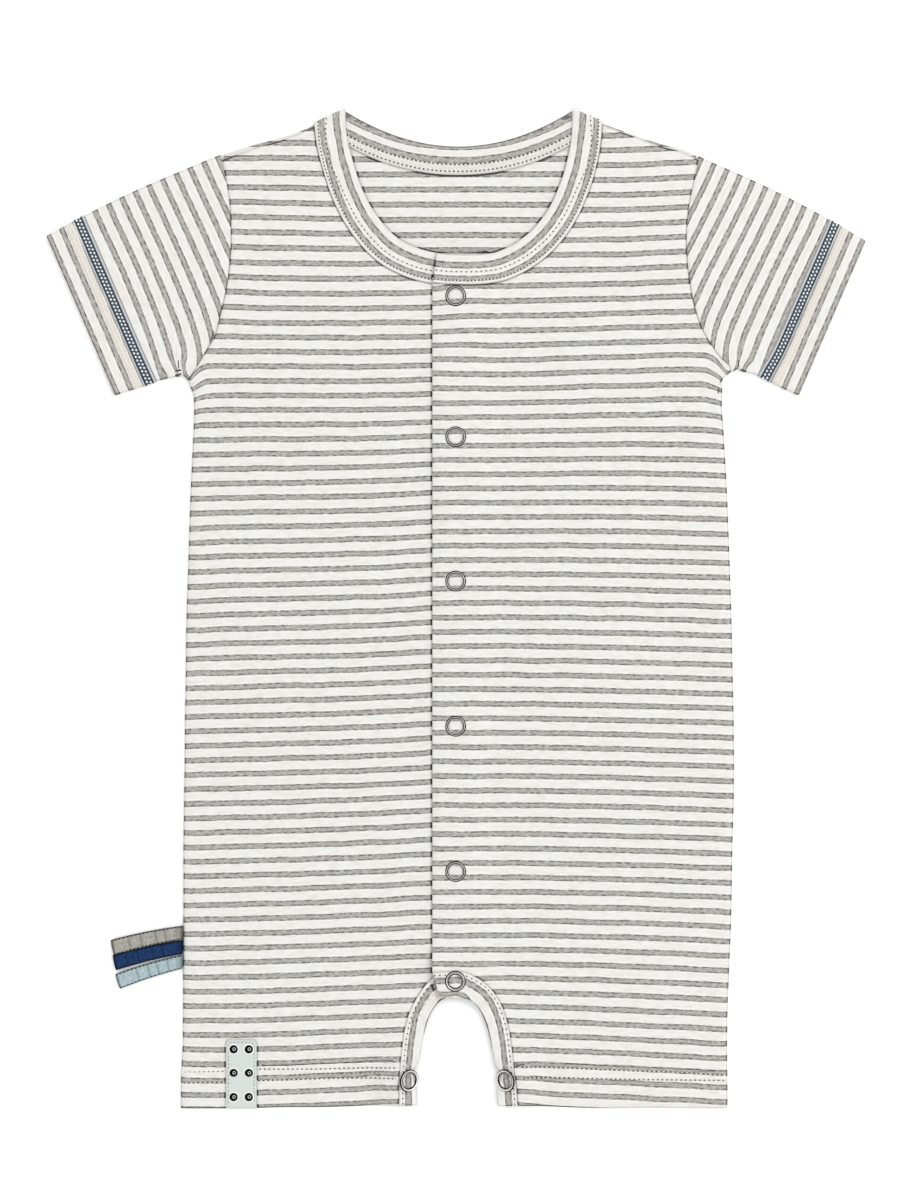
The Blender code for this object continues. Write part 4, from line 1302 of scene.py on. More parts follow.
BAND_WALL = 1.5
BACK_BAND_WALL = 1.0
BAND_SEAM_ROLL = (0.40, 1.3)
BAND_FOLD_ROLL = (0.55, 1.4)
BAND_END_ROLL = (0.45, 1.0)
NECKBAND_STRIPES = {
    # mm in from the seam, stripe
    -1: (
        (0, -0.44), (2.9, 0), (4.3, 0.2), (7.95, 0.8), (11.15, 1.2), (15, 1.78),
    ),
    1: (
        (0, -0.44), (1.4, -0.2), (4.1, 0.2), (7.25, 0.8), (10.45, 1.2), (14, 1.76),
    ),
}
BACK_NECKBAND_STRIPES = (
    # mm in from the seam, stripe
    (0, -0.62), (5.9, -0.21), (7.7, 0), (9.5, 0.21), (12.3, 0.79), (14.2, 1.1),
)
BAND_COLUMNS = 17
NECKBAND_Z = 3.0
SHOULDER_LIFT = 0.5
NECKBAND_LAP_LIFT = 2.1
NECK_TAB_SLANT = {-1: 0.0, 1: 1.9}
NECKBAND_STITCHES = (
    # mm in from the seam, lift, spacing
    (1.8, 0.02, 1.7), (5.8, 0.0, 2.3),
)
NECK_LAP_Y = 151.5
BACK_NECKBAND_Z = 1.65
# The cover stitch across the back, which is coarser than the others
BACK_COVER_SPACING = 2.0
BACK_COVER_SIZE = (1.9, 0.75, 0.34)
BACK_NEEDLE_SIZE = (1.15, 0.80, 0.34)
BACK_HOLE_SIZE = (0.92, 0.90, 0.30)
back_neck_free_edge = back_neck_curve(half_width=52.2, top_y=229.7, centre_y=213.4, fullness=2.0)


def pair_up(seam_curve, free_curve, seam_range, free_range, spacing, close_ends=False):
    """Rows across a band, evenly spaced along its middle: (seam point, free point, run, share)."""
    def pair(share):
        return (seam_curve(seam_range[0] + (seam_range[1] - seam_range[0]) * share),
                free_curve(free_range[0] + (free_range[1] - free_range[0]) * share))

    shares = [k / 500 for k in range(501)]
    runs = running_lengths([sum(pair(share), Vector((0, 0))) / 2 for share in shares])
    table = list(zip(runs, shares))
    rows = []
    for run in spread(runs[-1], spacing, close_ends, close_ends):
        share = read_table(table, run)[0]
        rows.append((*pair(share), run, share))
    return rows


class Band:
    """A doubled strip between its seam and its free edge, and the paths that run along it."""

    def __init__(self, side, rows, heights, stripes, ends_show=False, nominal=None,
                 cover_x=None, slip=lambda seam: 0.0, wall=BAND_WALL):
        self.side, self.rows, self.heights = side, rows, heights
        self.stripes, self.ends_show, self.nominal = stripes, ends_show, nominal
        self.cover_x, self.slip, self.wall = cover_x, slip, wall
        self.length = rows[-1][2]

    def point(self, row, distance, lift=0.0):
        """Point on the band's upper face, at a distance in from its seam edge."""
        seam, free, run, share = self.rows[row]
        width = (free - seam).length
        flat = seam.lerp(free, distance / width)
        seam_z, free_z = self.heights(seam, free, share)
        z = seam_z + (free_z - seam_z) * distance / width
        z -= roll_off(distance, *BAND_SEAM_ROLL) + roll_off(width - distance, *BAND_FOLD_ROLL)
        if self.ends_show:
            z -= roll_off(run, *BAND_END_ROLL) + roll_off(self.length - run, *BAND_END_ROLL)
        z = max(z, self.wall + LOWEST_THREAD_Z) + lift
        return settle(Vector((self.side * flat.x, flat.y, z)))

    def width(self, row):
        seam, free = self.rows[row][:2]
        return (free - seam).length

    def path(self, distance, lift):
        """Path along the band at a distance in from its seam edge."""
        return [self.point(row, distance, lift) for row in range(len(self.rows))]

    def build(self, name, node):
        """Make the band's piece. Its stripes lie where its table says, on its nominal width."""
        bm = bmesh.new()

        def place(column, row):
            return self.point(row, edge_run(column, BAND_COLUMNS, self.width(row)))

        def mark(column, row, at):
            width = self.width(row)
            distance = edge_run(column, BAND_COLUMNS, width)
            seam, _, run, share = self.rows[row]
            stretched = width / self.nominal if self.nominal else 1.0
            stripe, *on_tab = read_table(self.stripes, distance / stretched + self.slip(seam))
            if on_tab and self.side > 0:
                stripe += (on_tab[0] - stripe) * smooth(share, 0.66, 0.76)
            # Painted shade runs along the band's seam, its fold, its shown ends and the edge that
            # covers it.
            gaps = [distance, width - distance + 0.15]
            if self.ends_show:
                gaps.append(run + 0.1)
            if self.cover_x:
                gaps.append(self.cover_x(at.y) - at.x - 0.3)
            return run, stripe, min(gaps, key=abs)

        grid(bm, BAND_COLUMNS, len(self.rows), place, mark)
        face_up(bm)
        area = sum(face.calc_area() for face in bm.faces)
        widest = max(self.width(row) for row in range(len(self.rows)))
        piece = add_piece(name, bm, [jersey], "striped_band", node)
        add_wall(piece, self.wall)
        long = max(self.length, area / widest * 1.02)


def neckband_heights(side):
    def heights(seam, free, share):
        z = NECKBAND_Z + SHOULDER_LIFT * smooth(seam.y, 205, 222)
        if side > 0:
            z += NECKBAND_LAP_LIFT * (1 - smooth(seam.x, 6, 24))
        return z, z
    return heights


def neck_lap_x(y):
    """Slanting end of the left front's neckband, where it lies on the right one."""
    return LAP_EDGE_X[1] + 0.2 * (y - NECK_LAP_Y)


neckband_slips = {-1: lambda seam: -0.5 * smooth(seam.y, 172, 190), 1: lambda seam: 0.0}
for side, name in ((-1, "neckband_front_right"), (1, "neckband_front_left")):
    edge = LAP_EDGE_X[side]
    seam, free = neck_seam(side), neck_free_edge(side)
    rows = pair_up(seam, free, (angle_where(seam, edge), 101),
                   (angle_where(free, edge + NECK_TAB_SLANT[side]), 97), ROW_SPACING, True)
    band = Band(side, rows, neckband_heights(side), NECKBAND_STRIPES[side], True,
                nominal=NECKBAND_WIDTH[side], cover_x=neck_lap_x if side < 0 else None,
                slip=neckband_slips[side])
    band.build(f"{name}_jersey", name)
    bm = bmesh.new()
    for distance, lift, spacing in NECKBAND_STITCHES:
        sewn_row(bm, band.path(distance, lift), spacing)
    add_piece(f"{name}_stitches", bm, [cream_thread, hole_shade_finish], "striped_band")

rows = pair_up(back_neck_seam, back_neck_free_edge, (-1, 1), (-1, 1), ROW_SPACING)
band = Band(1, rows, lambda seam, free, share: (BACK_NECKBAND_Z, BACK_NECKBAND_Z),
            BACK_NECKBAND_STRIPES,
            slip=lambda seam: 1.0 + 0.3 * smooth(abs(seam.x), 14, 36), wall=BACK_BAND_WALL)
band.build("neckband_back_jersey", "neckband_back")
bm = bmesh.new()
for distance, lean in ((0.75, 0.0), (2.35, 0.5), (3.1, -0.5), (3.85, 0.5)):
    stitch_row(bm, band.path(distance, 0.06), BACK_COVER_SPACING, BACK_COVER_SIZE, turn=lean)
# Each needle row with a dot of painted shade for its hole
for distance, start in ((1.55, 0.0), (4.75, 1.0)):
    needle_path = band.path(distance, 0.10)
    stitch_row(bm, needle_path, BACK_COVER_SPACING, BACK_NEEDLE_SIZE, start=start + 1.0)
    hole_path = band.path(distance, 0.12)
    stitch_row(bm, hole_path, BACK_COVER_SPACING, BACK_HOLE_SIZE, 1, start=start)
add_piece("neckband_back_cover_stitch", bm, [pale_thread, hole_shade_finish], "striped_band")

# ---- Inseam bands -------------------------------------------------------------------------
# Doubled strips of jersey bind the legs' inner edges round the crotch, front and back. The
# front ones carry the leg snaps, and the left one laps over the right at the crotch.

INSEAM_STRIPES = (
    # mm in from the seam, stripe round the leg, stripe on the tab at the crotch
    (0, -0.42, -0.4), (2.9, -0.19, -0.19), (4.3, 0, 0), (5.75, 0.19, 0.19), (9.2, 0.6, 0.81),
    (10.9, 0.81, 1.08), (11.9, 1, 1.25), (14, 1.35, 1.6),
)
TAB_SLANT = {-1: 0.0, 1: 3.3}
INSEAM_STITCHES = {-1: 1.9, 1: 1.5}
INSEAM_ROW_SPACING = 1.5
FAINT_HOLE_SIZE = (0.6, 0.45, 0.2)
BACK_INSEAM_Z = 1.6


def inseam_band_heights(side):
    corner = angle_where(front_arch(side), LAP_EDGE_X[side])

    def heights(seam, free, share):
        angle = min(corner * share, 90)
        return (inseam_heights(angle, seam.y, side > 0)[0],
                inseam_heights(angle, free.y, side > 0)[1])
    return heights


def leg_tab_x(y):
    """Slanting end of the left inseam band's tab, where it lies on the right one."""
    return LAP_EDGE_X[1] + TAB_SLANT[1] * smooth(-y, 171.5, 181.0)


def inseam_slip(side):
    """How far the stripes of a front's band have crept towards its free edge, or back."""
    if side > 0:
        return lambda seam: -0.6 * smooth(seam.y, -226, -210) * (1 - smooth(seam.y, -186, -174))
    return lambda seam: (-0.45 + 1.4 * smooth(seam.y, -192, -180)
                         - 0.95 * smooth(seam.y, -172, -167))


for side, name in ((-1, "inseam_band_front_right"), (1, "inseam_band_front_left")):
    edge = LAP_EDGE_X[side]
    seam, free = front_arch(side), front_arch(side, "free")
    rows = pair_up(seam, free, (0, angle_where(seam, edge)),
                   (0, angle_where(free, edge + TAB_SLANT[side])), INSEAM_ROW_SPACING, True)
    band = Band(side, rows, inseam_band_heights(side), INSEAM_STRIPES, True,
                cover_x=leg_tab_x if side < 0 else None, slip=inseam_slip(side))
    band.build(f"{name}_jersey", name)
    bm = bmesh.new()
    sewn_row(bm, band.path(INSEAM_STITCHES[side], 0.03), 2.5)
    # Two fainter rows of holes, which the needles have left in the band, drawn as dots of painted shade
    for distance in (3.2, 5.6):
        stitch_row(bm, band.path(distance, 0.02), 2.7, FAINT_HOLE_SIZE, 1, start=distance / 3)
    add_piece(f"{name}_stitches", bm, [cream_thread, hole_shade_finish], "striped_band")


def back_arch_free_edge(angle):
    """The back band's free edge, which stays hidden behind the front ones."""
    if angle <= 90:
        return front_arch(1, "free", -0.5)(angle)
    point = front_arch(-1, "free", -0.5)(180 - angle)
    return Vector((-point.x, point.y))


rows = pair_up(arch_seam, back_arch_free_edge, (0, 180), (0, 180), INSEAM_ROW_SPACING, True)
band = Band(1, rows, lambda seam, free, share: (BACK_INSEAM_Z, BACK_INSEAM_Z), INSEAM_STRIPES,
            True, wall=BACK_BAND_WALL)
band.build("inseam_band_back_jersey", "inseam_band_back")

# ---- Hems ---------------------------------------------------------------------------------
# The leg hems are turned up once and held by a two-needle cover stitch, all round the leg.

HEM_STITCHES = {
    # distance from the middle, y of the upper row, y of the lower row
    -1: (
        (28, -210, -214.7), (36, -210.4, -215), (64, -211.2, -215.6), (91, -211.3, -216.5),
        (107, -212.3, -217.2), (126, -212.8, -217.6),
    ),
    1: (
        (28, -209.8, -214.7), (43, -210.4, -215), (75, -211.8, -215.8), (97, -212.5, -216.1),
        (125, -214, -216.4),
    ),
}
HEM_STITCHES_FROM = 28.4
HEM_STITCHES_TO = 125.0
HEM_SPACING = 2.15
# A stretch of the right hem shows a third row of holes, this far above the lower row, drawn as dots of
# painted shade.
THIRD_ROW_RISE = Vector((0, 2.3, 0.05))
THIRD_ROW_X = (-79.0, -36.0)
THIRD_ROW_SIZE = (0.8, 0.6, 0.26)

for side, name in ((-1, "hem_right_stitches"), (1, "hem_left_stitches")):
    bm = bmesh.new()
    for row in (0, 1):
        path = []
        for k in range(121):
            out = HEM_STITCHES_FROM + (HEM_STITCHES_TO - HEM_STITCHES_FROM) * k / 120
            y = read_table(HEM_STITCHES[side], out)[row]
            x = side * (out + read_table(SIDE_LEAN[side], y)[0] * (out / LEAN_REACH) ** 2)
            lift = 0.04 + 0.3 * (1 - smooth(out, 34, 62))
            path.append(Vector((x, y, front_height(side * out, y, side) + lift)))
        sewn_row(bm, path, HEM_SPACING, start=0.7 * row)
        if side < 0 and row == 1:
            low, high = THIRD_ROW_X
            upper = [point + THIRD_ROW_RISE for point in path if low < point.x < high]
            stitch_row(bm, upper, HEM_SPACING, THIRD_ROW_SIZE, 1)
    add_piece(name, bm, [cream_thread, hole_shade_finish], "striped_jersey")

# ---- Ribbon loops -------------------------------------------------------------------------
# Three loops of narrow ribbed ribbon, each folded double and caught in the right side seam.
# Both long edges are overstitched in a darker thread.

RIBBON_WIDTH = 6.4
RIBBON_COLUMNS = 9
# Where the pressed creases cross a ribbon, in mm out from its seam. Their shade is painted into the
# ribbon's colour as dark lines.
RIBBON_CREASES = {
    "taupe": (2.6, 7.9, 12.4, 19.5, 24.8),
    "navy": (3.2, 9.4, 14.2, 21.0, 26.4),
    "pale_blue": (2.4, 6.8, 11.8, 16.2, 21.4),
}
RIBBON_SEAM_X = -126.9
RIBBON_LOWER_Z = 0.5
RIBBON_UPPER_Z = 1.8
RIBBON_WALL = 0.55
RIBBON_MIDDLE_Z = (RIBBON_UPPER_Z + RIBBON_LOWER_Z) / 2
RIBBON_FOLD_RADIUS = (RIBBON_UPPER_Z - RIBBON_LOWER_Z) / 2
RIBBON_FOLD_RUN = math.pi * RIBBON_FOLD_RADIUS
RIB_WIDTH = 0.8
RIBBON_STITCH_INSET = 0.35
RIBBON_STITCH_SIZE = (1.15, 0.62, 0.30)
RIBBONS = (
    # name, y, length, droop in degrees, colour, dark colour, edge thread, where its edge darkens
    ("taupe", -148.5, 33.2, 10.1, "A6A49E", "85827C", "211E1A", 0.84),
    ("navy", -155.1, 32.4, 11.0, "1A3B66", "0A2044", "02040A", 0.66),
    ("pale_blue", -161.8, 31.4, 15.1, "A9B9BC", "8A9DA2", "243238", 0.84),
)


def ribbon_finish(name, colour, shade, edging):
    """Grosgrain ribbon: fine ribs across it, with a slight silky shine on each."""
    made, tree, shader = start_material(name, 0.8, specular=0.15)
    rgb = {"output": 2, "data_type": "RGBA"}
    strands = add_node(tree, "Attribute", output="Vector", attribute_name="threads")
    along, aside, bound = add_node(tree, "SeparateXYZ", {0: strands}).node.outputs
    place = add_node(tree, "CombineXYZ", {0: along, 1: aside})
    uneven = add_node(tree, "TexNoise", {"Vector": place, "Scale": 0.7, "Detail": 3.0})
    open_cloth = add_node(tree, "Math", {0: 1.0, 1: bound}, operation="SUBTRACT")
    share = add_node(tree, "MapRange", {0: uneven, 1: 0.3, 2: 0.7})
    share = add_node(tree, "Math", {0: share, 1: open_cloth}, operation="MULTIPLY")
    cloth = add_node(tree, "Mix", {0: share, 6: linear_colour(shade), 7: linear_colour(colour)},
                     **rgb)
    # bound holds the stitched edge and also the painted shade of the creases, the seam end and the fold
    faint = add_node(tree, "Math", {0: bound, 1: 0.68}, operation="MULTIPLY")
    cloth = add_node(tree, "Mix", {0: faint, 6: cloth, 7: linear_colour(edging)}, **rgb)
    tree.links.new(cloth, shader.inputs["Base Color"])
    rib = add_node(tree, "Math", {0: along, 1: 2 * math.pi / RIB_WIDTH}, operation="MULTIPLY")
    rib = add_node(tree, "Math", {0: rib}, operation="SINE")
    roughen(tree, shader, rib, 0.3, 0.15)
    return made


def ribbon_point(y, length, droop, seed, run, aside, lift=0.0):
    """Point on a ribbon's outer face. run: mm from the lower ply's seam end, over its fold."""
    straight = length - RIBBON_FOLD_RADIUS
    half = RIBBON_FOLD_RADIUS + RIBBON_WALL / 2 + lift
    if run < straight:
        out, z = run, RIBBON_MIDDLE_Z - half
    elif run < straight + RIBBON_FOLD_RUN:
        turn = (run - straight) / RIBBON_FOLD_RADIUS
        out, z = straight + half * math.sin(turn), RIBBON_MIDDLE_Z - half * math.cos(turn)
    else:
        out = straight - (run - straight - RIBBON_FOLD_RUN)
        crease = noise.noise(Vector((out / 3.4, aside / 30, seed)))
        fade = smooth(out, 1, 6) * smooth(straight - out, 0, 3)
        z = RIBBON_MIDDLE_Z + half + fade * (0.5 * crease + 0.15)
        out -= 0.15 * crease
    turn = math.radians(droop)
    out -= 0.4 * (2 * abs(aside) / RIBBON_WIDTH) ** 4 * smooth(out, length - 6, length)
    out += aside * math.tan(turn) * max(0.0, 1 - out / 9)
    aside *= 0.95 + 0.16 * max(0.0, out) / length
    turn += 0.07 * (max(0.0, out) / length - 0.5)
    flat = Vector((RIBBON_SEAM_X - out * math.cos(turn) + aside * math.sin(turn),
                   y - out * math.sin(turn) - aside * math.cos(turn)))
    return Vector((flat.x, flat.y, z))


for number, ribbon in enumerate(RIBBONS):
    name, y, length, droop, colour, shade, edging, edging_from = ribbon
    bm = bmesh.new()
    seed = 3.7 * number
    straight = length - RIBBON_FOLD_RADIUS
    over = straight + RIBBON_FOLD_RUN
    lower, fold, upper = 18, 8, 44
    runs = [straight * k / lower for k in range(lower)]
    runs += [straight + RIBBON_FOLD_RUN * k / fold for k in range(fold)]
    runs += [over + straight * k / upper for k in range(upper + 1)]

    def place_on_ribbon(column, row):
        aside = RIBBON_WIDTH * (column / (RIBBON_COLUMNS - 1) - 0.5)
        return ribbon_point(y, length, droop, seed, runs[row], aside)

    def mark_ribbon(column, row, at):
        """Place along and across a ribbon, and how dark it is: its stitched edge, and painted shade at
        its creases, at its seam end and at its fold.
        """
        aside = RIBBON_WIDTH * (column / (RIBBON_COLUMNS - 1) - 0.5)
        out = runs[row] if runs[row] < straight else straight + over - runs[row]
        edge = abs(aside) / (RIBBON_WIDTH / 2)
        painted_crease_shade = 0.6 * max(math.exp(-((out - crease) / 0.4) ** 2)
                            for crease in RIBBON_CREASES[name])
        bound = smooth(edge, edging_from, 1.0)
        dark = max(painted_crease_shade, bound, 0.9 * (1 - smooth(out, 0.3, 2.2)),
                   smooth(out, length - 1.4, length - 0.2))
        return runs[row], aside, dark

    grid(bm, RIBBON_COLUMNS, len(runs), place_on_ribbon, mark_ribbon)
    bmesh.ops.recalc_face_normals(bm, faces=bm.faces)
    upper_ply = [face for face in bm.faces if face.calc_center_median().z > 1.5]
    if sum(face.normal.z for face in upper_ply) < 0:
        bmesh.ops.reverse_faces(bm, faces=bm.faces)
    finish = ribbon_finish(f"{name}_grosgrain_ribbon", colour, shade, edging)
    piece = add_piece(f"loop_{name}", bm, [finish], f"ribbon_{name}", f"side_loop_{name}")
    add_wall(piece, RIBBON_WALL)
    bm = bmesh.new()
    for aside in (RIBBON_STITCH_INSET - RIBBON_WIDTH / 2, RIBBON_WIDTH / 2 - RIBBON_STITCH_INSET):
        path = [ribbon_point(y, length, droop, seed, run, aside, 0.02) for run in runs[lower:]]
        stitch_row(bm, path, 1.9, RIBBON_STITCH_SIZE, start=0.5)
    edge_thread = thread_finish(f"{name}_edge_thread", edging, edging, 0.95, 0.1, 0.0)
    add_piece(f"loop_{name}_stitches", bm, [edge_thread], f"ribbon_{name}")

# ---- Hem patch ----------------------------------------------------------------------------
# A small plain tab of pale coated cotton, wrapped round the right leg's hem and edge-stitched.
# Six black dome rivets stand on it in two columns.

PATCH_STITCH_INSET = 1.2
PATCH_STITCH_DENT = 0.22
PATCH_STITCH_SIZE = (1.15, 0.42, 0.26)
PATCH_WALL = 0.9
PATCH_LIFT = 0.75
PATCH_ROLL = (0.5, 0.9)
patch_cloth, tree, shader = start_material("pale_green_coated_cotton", 0.55, "C0C6C2",
                                           sheen_weight=0.1)
place = add_node(tree, "TexCoord", output="Object")
grain = add_node(tree, "TexNoise", {"Vector": place, "Scale": 1 / (0.6 * MM), "Detail": 3.0})
roughen(tree, shader, grain, 0.2, 0.1)


def patch_height(x, y):
    """Upper face of the patch, which follows the cloth under it."""
    edge = min(x - patch_low.x, patch_high.x - x, patch_high.y - y)
    z = front_height(x, y, -1) + PATCH_LIFT
    z -= roll_off(edge, *PATCH_ROLL)
    return z - PATCH_STITCH_DENT * math.exp(-((edge - PATCH_STITCH_INSET) / 0.4) ** 2)


bm = bmesh.new()
columns, rows = 27, 58
width = patch_high.x - patch_low.x
height = patch_high.y - patch_low.y


def place_on_patch(column, row):
    """Point on the patch, with the grid's upper corners drawn in to round ones."""
    x = patch_low.x + width * column / (columns - 1)
    y = patch_low.y + height * row / (rows - 1)
    centre_y = patch_high.y - PATCH_CORNER
    for centre_x, sign in ((patch_low.x + PATCH_CORNER, -1), (patch_high.x - PATCH_CORNER, 1)):
        aside = sign * (x - centre_x)
        above = y - centre_y
        if aside > 0 and above > 0:
            limit = max(aside, above) / math.hypot(aside, above)
            x = centre_x + sign * aside * limit
            y = centre_y + above * limit
    return Vector((x, y, patch_height(x, y)))


grid(bm, columns, rows, place_on_patch)
face_up(bm)
patch = add_piece("hem_patch_cloth", bm, [patch_cloth], "patch_cloth", "hem_patch")
add_wall(patch, PATCH_WALL)
width, height = width * MM, height * MM

bm = bmesh.new()
left, right = patch_low.x + PATCH_STITCH_INSET, patch_high.x - PATCH_STITCH_INSET
top = patch_high.y - PATCH_STITCH_INSET
corners = [(left, patch_low.y + 1), (left, top - 1), (left + 1, top), (right - 1, top),
           (right, top - 1), (right, patch_low.y + 1)]
path = []
for (x0, y0), (x1, y1) in zip(corners, corners[1:]):
    for k in range(12):
        x, y = x0 + (x1 - x0) * k / 12, y0 + (y1 - y0) * k / 12
        path.append(Vector((x, y, patch_height(x, y) + 0.08)))
stitch_row(bm, path, 1.75, PATCH_STITCH_SIZE, start=0.4)
patch_thread = thread_finish("sage_polyester_thread", "87928A", "68726A")
add_piece("hem_patch_stitches", bm, [patch_thread], "patch_cloth")

DOT_PROFILE = (
    # radius, height of the black dome
    (1.92, -0.1), (1.94, 0.12), (1.8, 0.34), (1.45, 0.54), (1, 0.62),
)
DOT_MIDDLE_PROFILE = ((1.02, 0.60), (0.6, 0.63), (0.0, 0.55))
WASHER_PROFILE = ((2.5, -0.1), (2.4, 0.10), (2.1, 0.16), (1.9, 0.06))
PIN_PROFILE = (
    # radius, height of the pale pin in its middle, a painted highlight
    (0.85, 0.55), (0.8, 0.68), (0.55, 0.72), (0.4, 0.55), (0, 0.5),
)
dot_black = start_material("black_enamelled_rivet", 0.45, "030304", 0.05)[0]
pin_painted_highlight = start_material("steel_pin_painted_highlight", 0.35, "A9ABAC", metallic=1.0)[0]
dot_rim = start_material("white_rivet_washer", 0.6, "E4E6E5")[0]


def turn_profile(bm, profile, steps, centre, finish=0):
    """Spin a profile of (radius, height) round an upright axis through a point."""
    before = set(bm.verts)
    points = [bm.verts.new((radius, 0, height)) for radius, height in profile]
    line = [bm.edges.new(pair) for pair in zip(points, points[1:])]
    bmesh.ops.spin(bm, geom=points + line, cent=(0, 0, 0), axis=(0, 0, 1), dvec=(0, 0, 0),
                   angle=2 * math.pi, steps=steps, use_merge=True, use_duplicate=False)
    made = [vertex for vertex in bm.verts if vertex not in before]
    for face in {face for vertex in made for face in vertex.link_faces}:
        face.material_index = finish
    bmesh.ops.remove_doubles(bm, verts=made, dist=0.001)
    made = [vertex for vertex in bm.verts if vertex not in before]
    bmesh.ops.translate(bm, vec=centre, verts=made)


for number in range(1, 7):
    low, high = box_mm(f"patch_dot_{number}")
    middle = (low + high) / 2
    z = patch_height(middle.x, middle.y)
    bm = bmesh.new()
    turn_profile(bm, DOT_PROFILE, 24, (middle.x, middle.y, z))
    turn_profile(bm, DOT_MIDDLE_PROFILE, 24, (middle.x, middle.y, z))
    turn_profile(bm, WASHER_PROFILE, 24, (middle.x, middle.y, z), 1)
    # The pale pin, set off the dome's middle, is a painted highlight on the black rivet
    turn_profile(bm, PIN_PROFILE, 16, (middle.x + 0.3, middle.y + 0.15, z), 2)
    bmesh.ops.recalc_face_normals(bm, faces=bm.faces)
    finishes = [dot_black, dot_rim, pin_painted_highlight]
    add_piece(f"rivet_{number}", bm, finishes, "patch_dots", f"patch_dot_{number}")

# ---- Snaps --------------------------------------------------------------------------------
# Ring-faced press studs of nickel-plated brass. Each ring is the front of a cap whose prongs
# pass through the cloth, which shows in its middle. The other halves sit between the plies.

RING_PROFILE = (
    # radius, height
    (2.98, -0.25), (3.02, 0.2), (3.2, 0.4), (3.38, 0.48), (3.46, 0.42), (3.7, 0.2), (3.95, 0.42),
    (4.1, 0.5), (4.28, 0.42), (4.56, 0.22), (4.8, -0.05), (4.78, -0.25),
)
# The parts of a ring that carry painted shade, from one radius to another: its inner wall, its groove
# and its outer slope
CROTCH_AND_LEG_RING_SHADE_BANDS = ((0.0, 3.33), (3.5, 3.65), (4.3, 5.0))
RING_SHADE_BANDS = ((0.0, 3.10), (3.46, 3.95), (4.28, 5.0))
LEG_RING_TILT = math.radians(37)
LEG_RING_TURN = math.radians(7)
LEG_RING_PLACES = {-1: (-22.6, -216.0), 1: (21.4, -216.0)}
LEG_RING_Z = 5.8
LEG_RING_SIZE = 1.09
LEG_RING_OPENING = 0.85
CROTCH_RING_SHIFT = Vector((-0.15, 0.6, 0))
RING_LIFT = 0.05
# Dull nickel plate, worn smooth in patches
nickel, tree, shader = start_material("nickel_plated_brass", 0.34, "B9B8B5", metallic=1.0)
place = add_node(tree, "TexCoord", output="Object")
wear = add_node(tree, "TexNoise", {"Vector": place, "Scale": 1 / (1.5 * MM), "Detail": 4.0})
polish = add_node(tree, "MapRange", {0: wear, 1: 0.3, 2: 0.7, 3: 0.28, 4: 0.42})
tree.links.new(polish, shader.inputs["Roughness"])
# A lighter copy of the same nickel for the leg rings: painted light, which keeps their tilted faces
# bright
leg_ring_nickel_painted_light = start_material("nickel_plated_brass_painted_light", 0.4, "E6E5E2", metallic=0.9)[0]
# Painted shade on the nickel: a dark grey on the rings' steep walls and in their grooves, for the shade
# and dark reflections there
nickel_painted_shade = start_material("nickel_with_painted_shade", 0.5, "1A1918", metallic=1.0)[0]

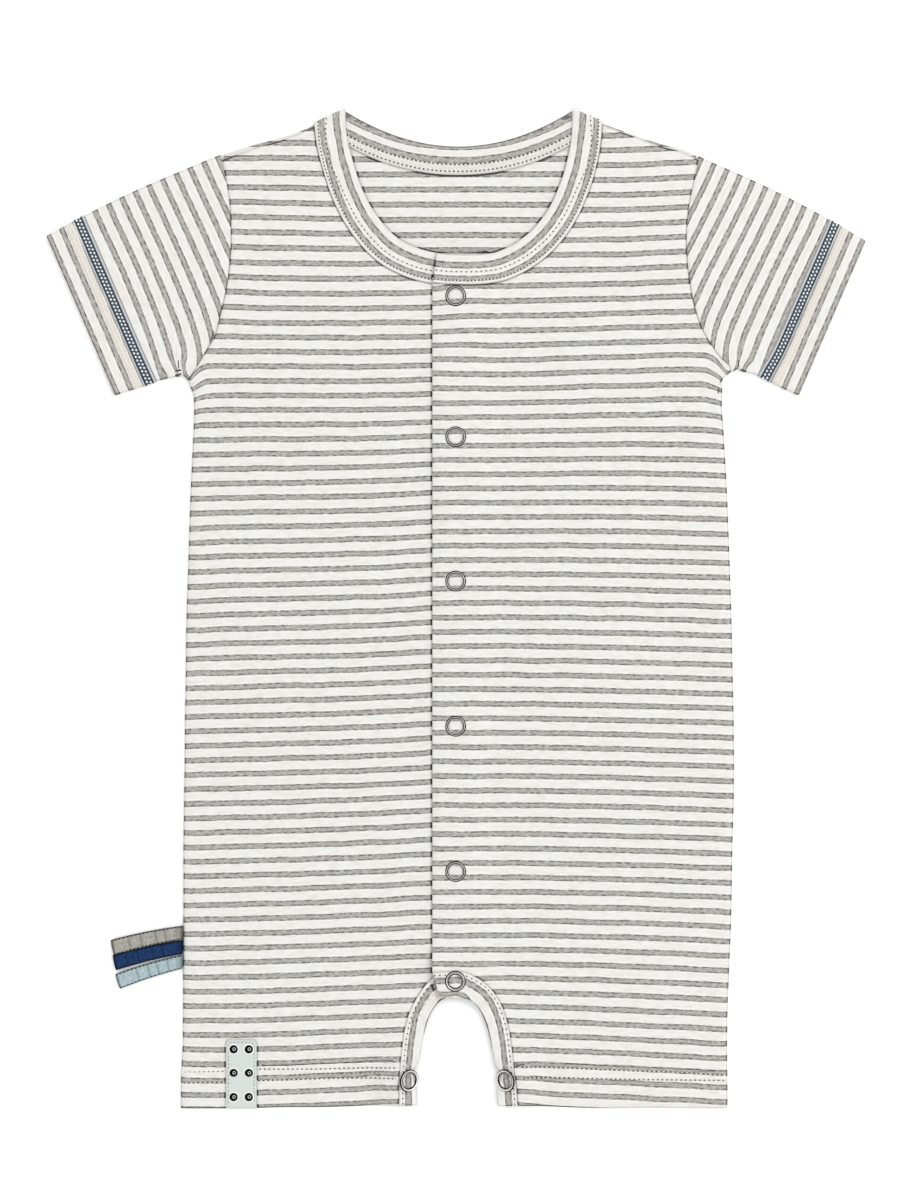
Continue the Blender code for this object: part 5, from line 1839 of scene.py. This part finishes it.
for number in range(1, 9):
    low, high = box_mm(f"stud_ring_{number}")
    middle = (low + high) / 2
    side = -1 if number == 7 else 1
    if number < 7:
        z = front_height(middle.x, middle.y, 1)
        if number == 6:
            middle += CROTCH_RING_SHIFT
            z = INSEAM_BAND_Z + CROTCH_LIFT
    else:
        middle = Vector(LEG_RING_PLACES[side])
        z = LEG_RING_Z
    bm = bmesh.new()
    turn_profile(bm, RING_PROFILE, 40, (0, 0, 0))
    for face in bm.faces:
        radius = face.calc_center_median().xy.length
        shade_bands = RING_SHADE_BANDS if number < 6 else CROTCH_AND_LEG_RING_SHADE_BANDS
        face.material_index = any(low < radius < high for low, high in shade_bands)
    if number >= 7:
        rim = RING_PROFILE[-2][0]
        for vertex in bm.verts:
            radius = vertex.co.xy.length
            wider = LEG_RING_SIZE * (rim - LEG_RING_OPENING * (rim - radius)) / radius
            vertex.co.x, vertex.co.y = vertex.co.x * wider, vertex.co.y * wider
        tilt = Matrix.Rotation(-side * LEG_RING_TILT, 3, "Y")
        turn = Matrix.Rotation(side * LEG_RING_TURN, 3, "Z")
        bmesh.ops.rotate(bm, cent=(0, 0, 0), matrix=turn @ tilt, verts=bm.verts)
    bmesh.ops.translate(bm, vec=(middle.x, middle.y, z + RING_LIFT), verts=bm.verts)
    bmesh.ops.recalc_face_normals(bm, faces=bm.faces)
    finishes = [nickel if number < 7 else leg_ring_nickel_painted_light, nickel_painted_shade]
    add_piece(f"snap_ring_{number}", bm, finishes, "stud_metal", f"stud_ring_{number}")
    hidden_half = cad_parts[f"stud_half_{number}"]
    for slot in hidden_half.material_slots:
        slot.material = nickel

# ---- Studio -------------------------------------------------------------------------------
# The romper lies on a plain white table and is seen from straight above. One large soft
# light stands high on its left, and the white room fills the rest, so shadows are faint.

STANDS_AT = Vector((-3.9, 4.6))
CAMERA_HEIGHT = 1306.0
LENS = 85.0
TABLE_GAP = 0.2

bm = bmesh.new()
bmesh.ops.create_grid(bm, x_segments=1, y_segments=1, size=4.0)
bmesh.ops.translate(bm, vec=(0, 0, -TABLE_GAP * MM), verts=bm.verts)
mesh = bpy.data.meshes.new("table_top")
bm.to_mesh(mesh)
bm.free()
# White laminate, smooth and matt, which shows as an even pale ground
mesh.materials.append(start_material("white_laminate_table", 0.6, "FFFFFF")[0])
table_top = bpy.data.objects.new("table_top", mesh)
bpy.context.scene.collection.objects.link(table_top)
table_top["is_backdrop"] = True

world = bpy.data.worlds.new("white_room")
bpy.context.scene.world = world
world.use_nodes = True
room = world.node_tree.nodes["Background"]
room.inputs["Color"].default_value = linear_colour("FFFFFF")
room.inputs["Strength"].default_value = 1.12

light = bpy.data.lights.new("soft_key", "AREA")
light.shape = "DISK"
light.size = 1.4
light.energy = 18.0
key = bpy.data.objects.new("soft_key", light)
key.location = (1.3, 0.7, 2.1)
key.rotation_euler = (-key.location).to_track_quat("-Z", "Y").to_euler()
bpy.context.scene.collection.objects.link(key)

lens = bpy.data.cameras.new("overhead_camera")
lens.lens = LENS
lens.sensor_width = 36.0
lens.clip_start = 0.05
camera = bpy.data.objects.new("overhead_camera", lens)
camera.location = (STANDS_AT.x * MM, STANDS_AT.y * MM, CAMERA_HEIGHT * MM)
bpy.context.scene.collection.objects.link(camera)
bpy.context.scene.camera = camera
bpy.context.scene.view_settings.view_transform = "Standard"

boxes = {"cad": cad_box, "visual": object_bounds()}
{name: [list(corner) for corner in box] for name, box in boxes.items()}
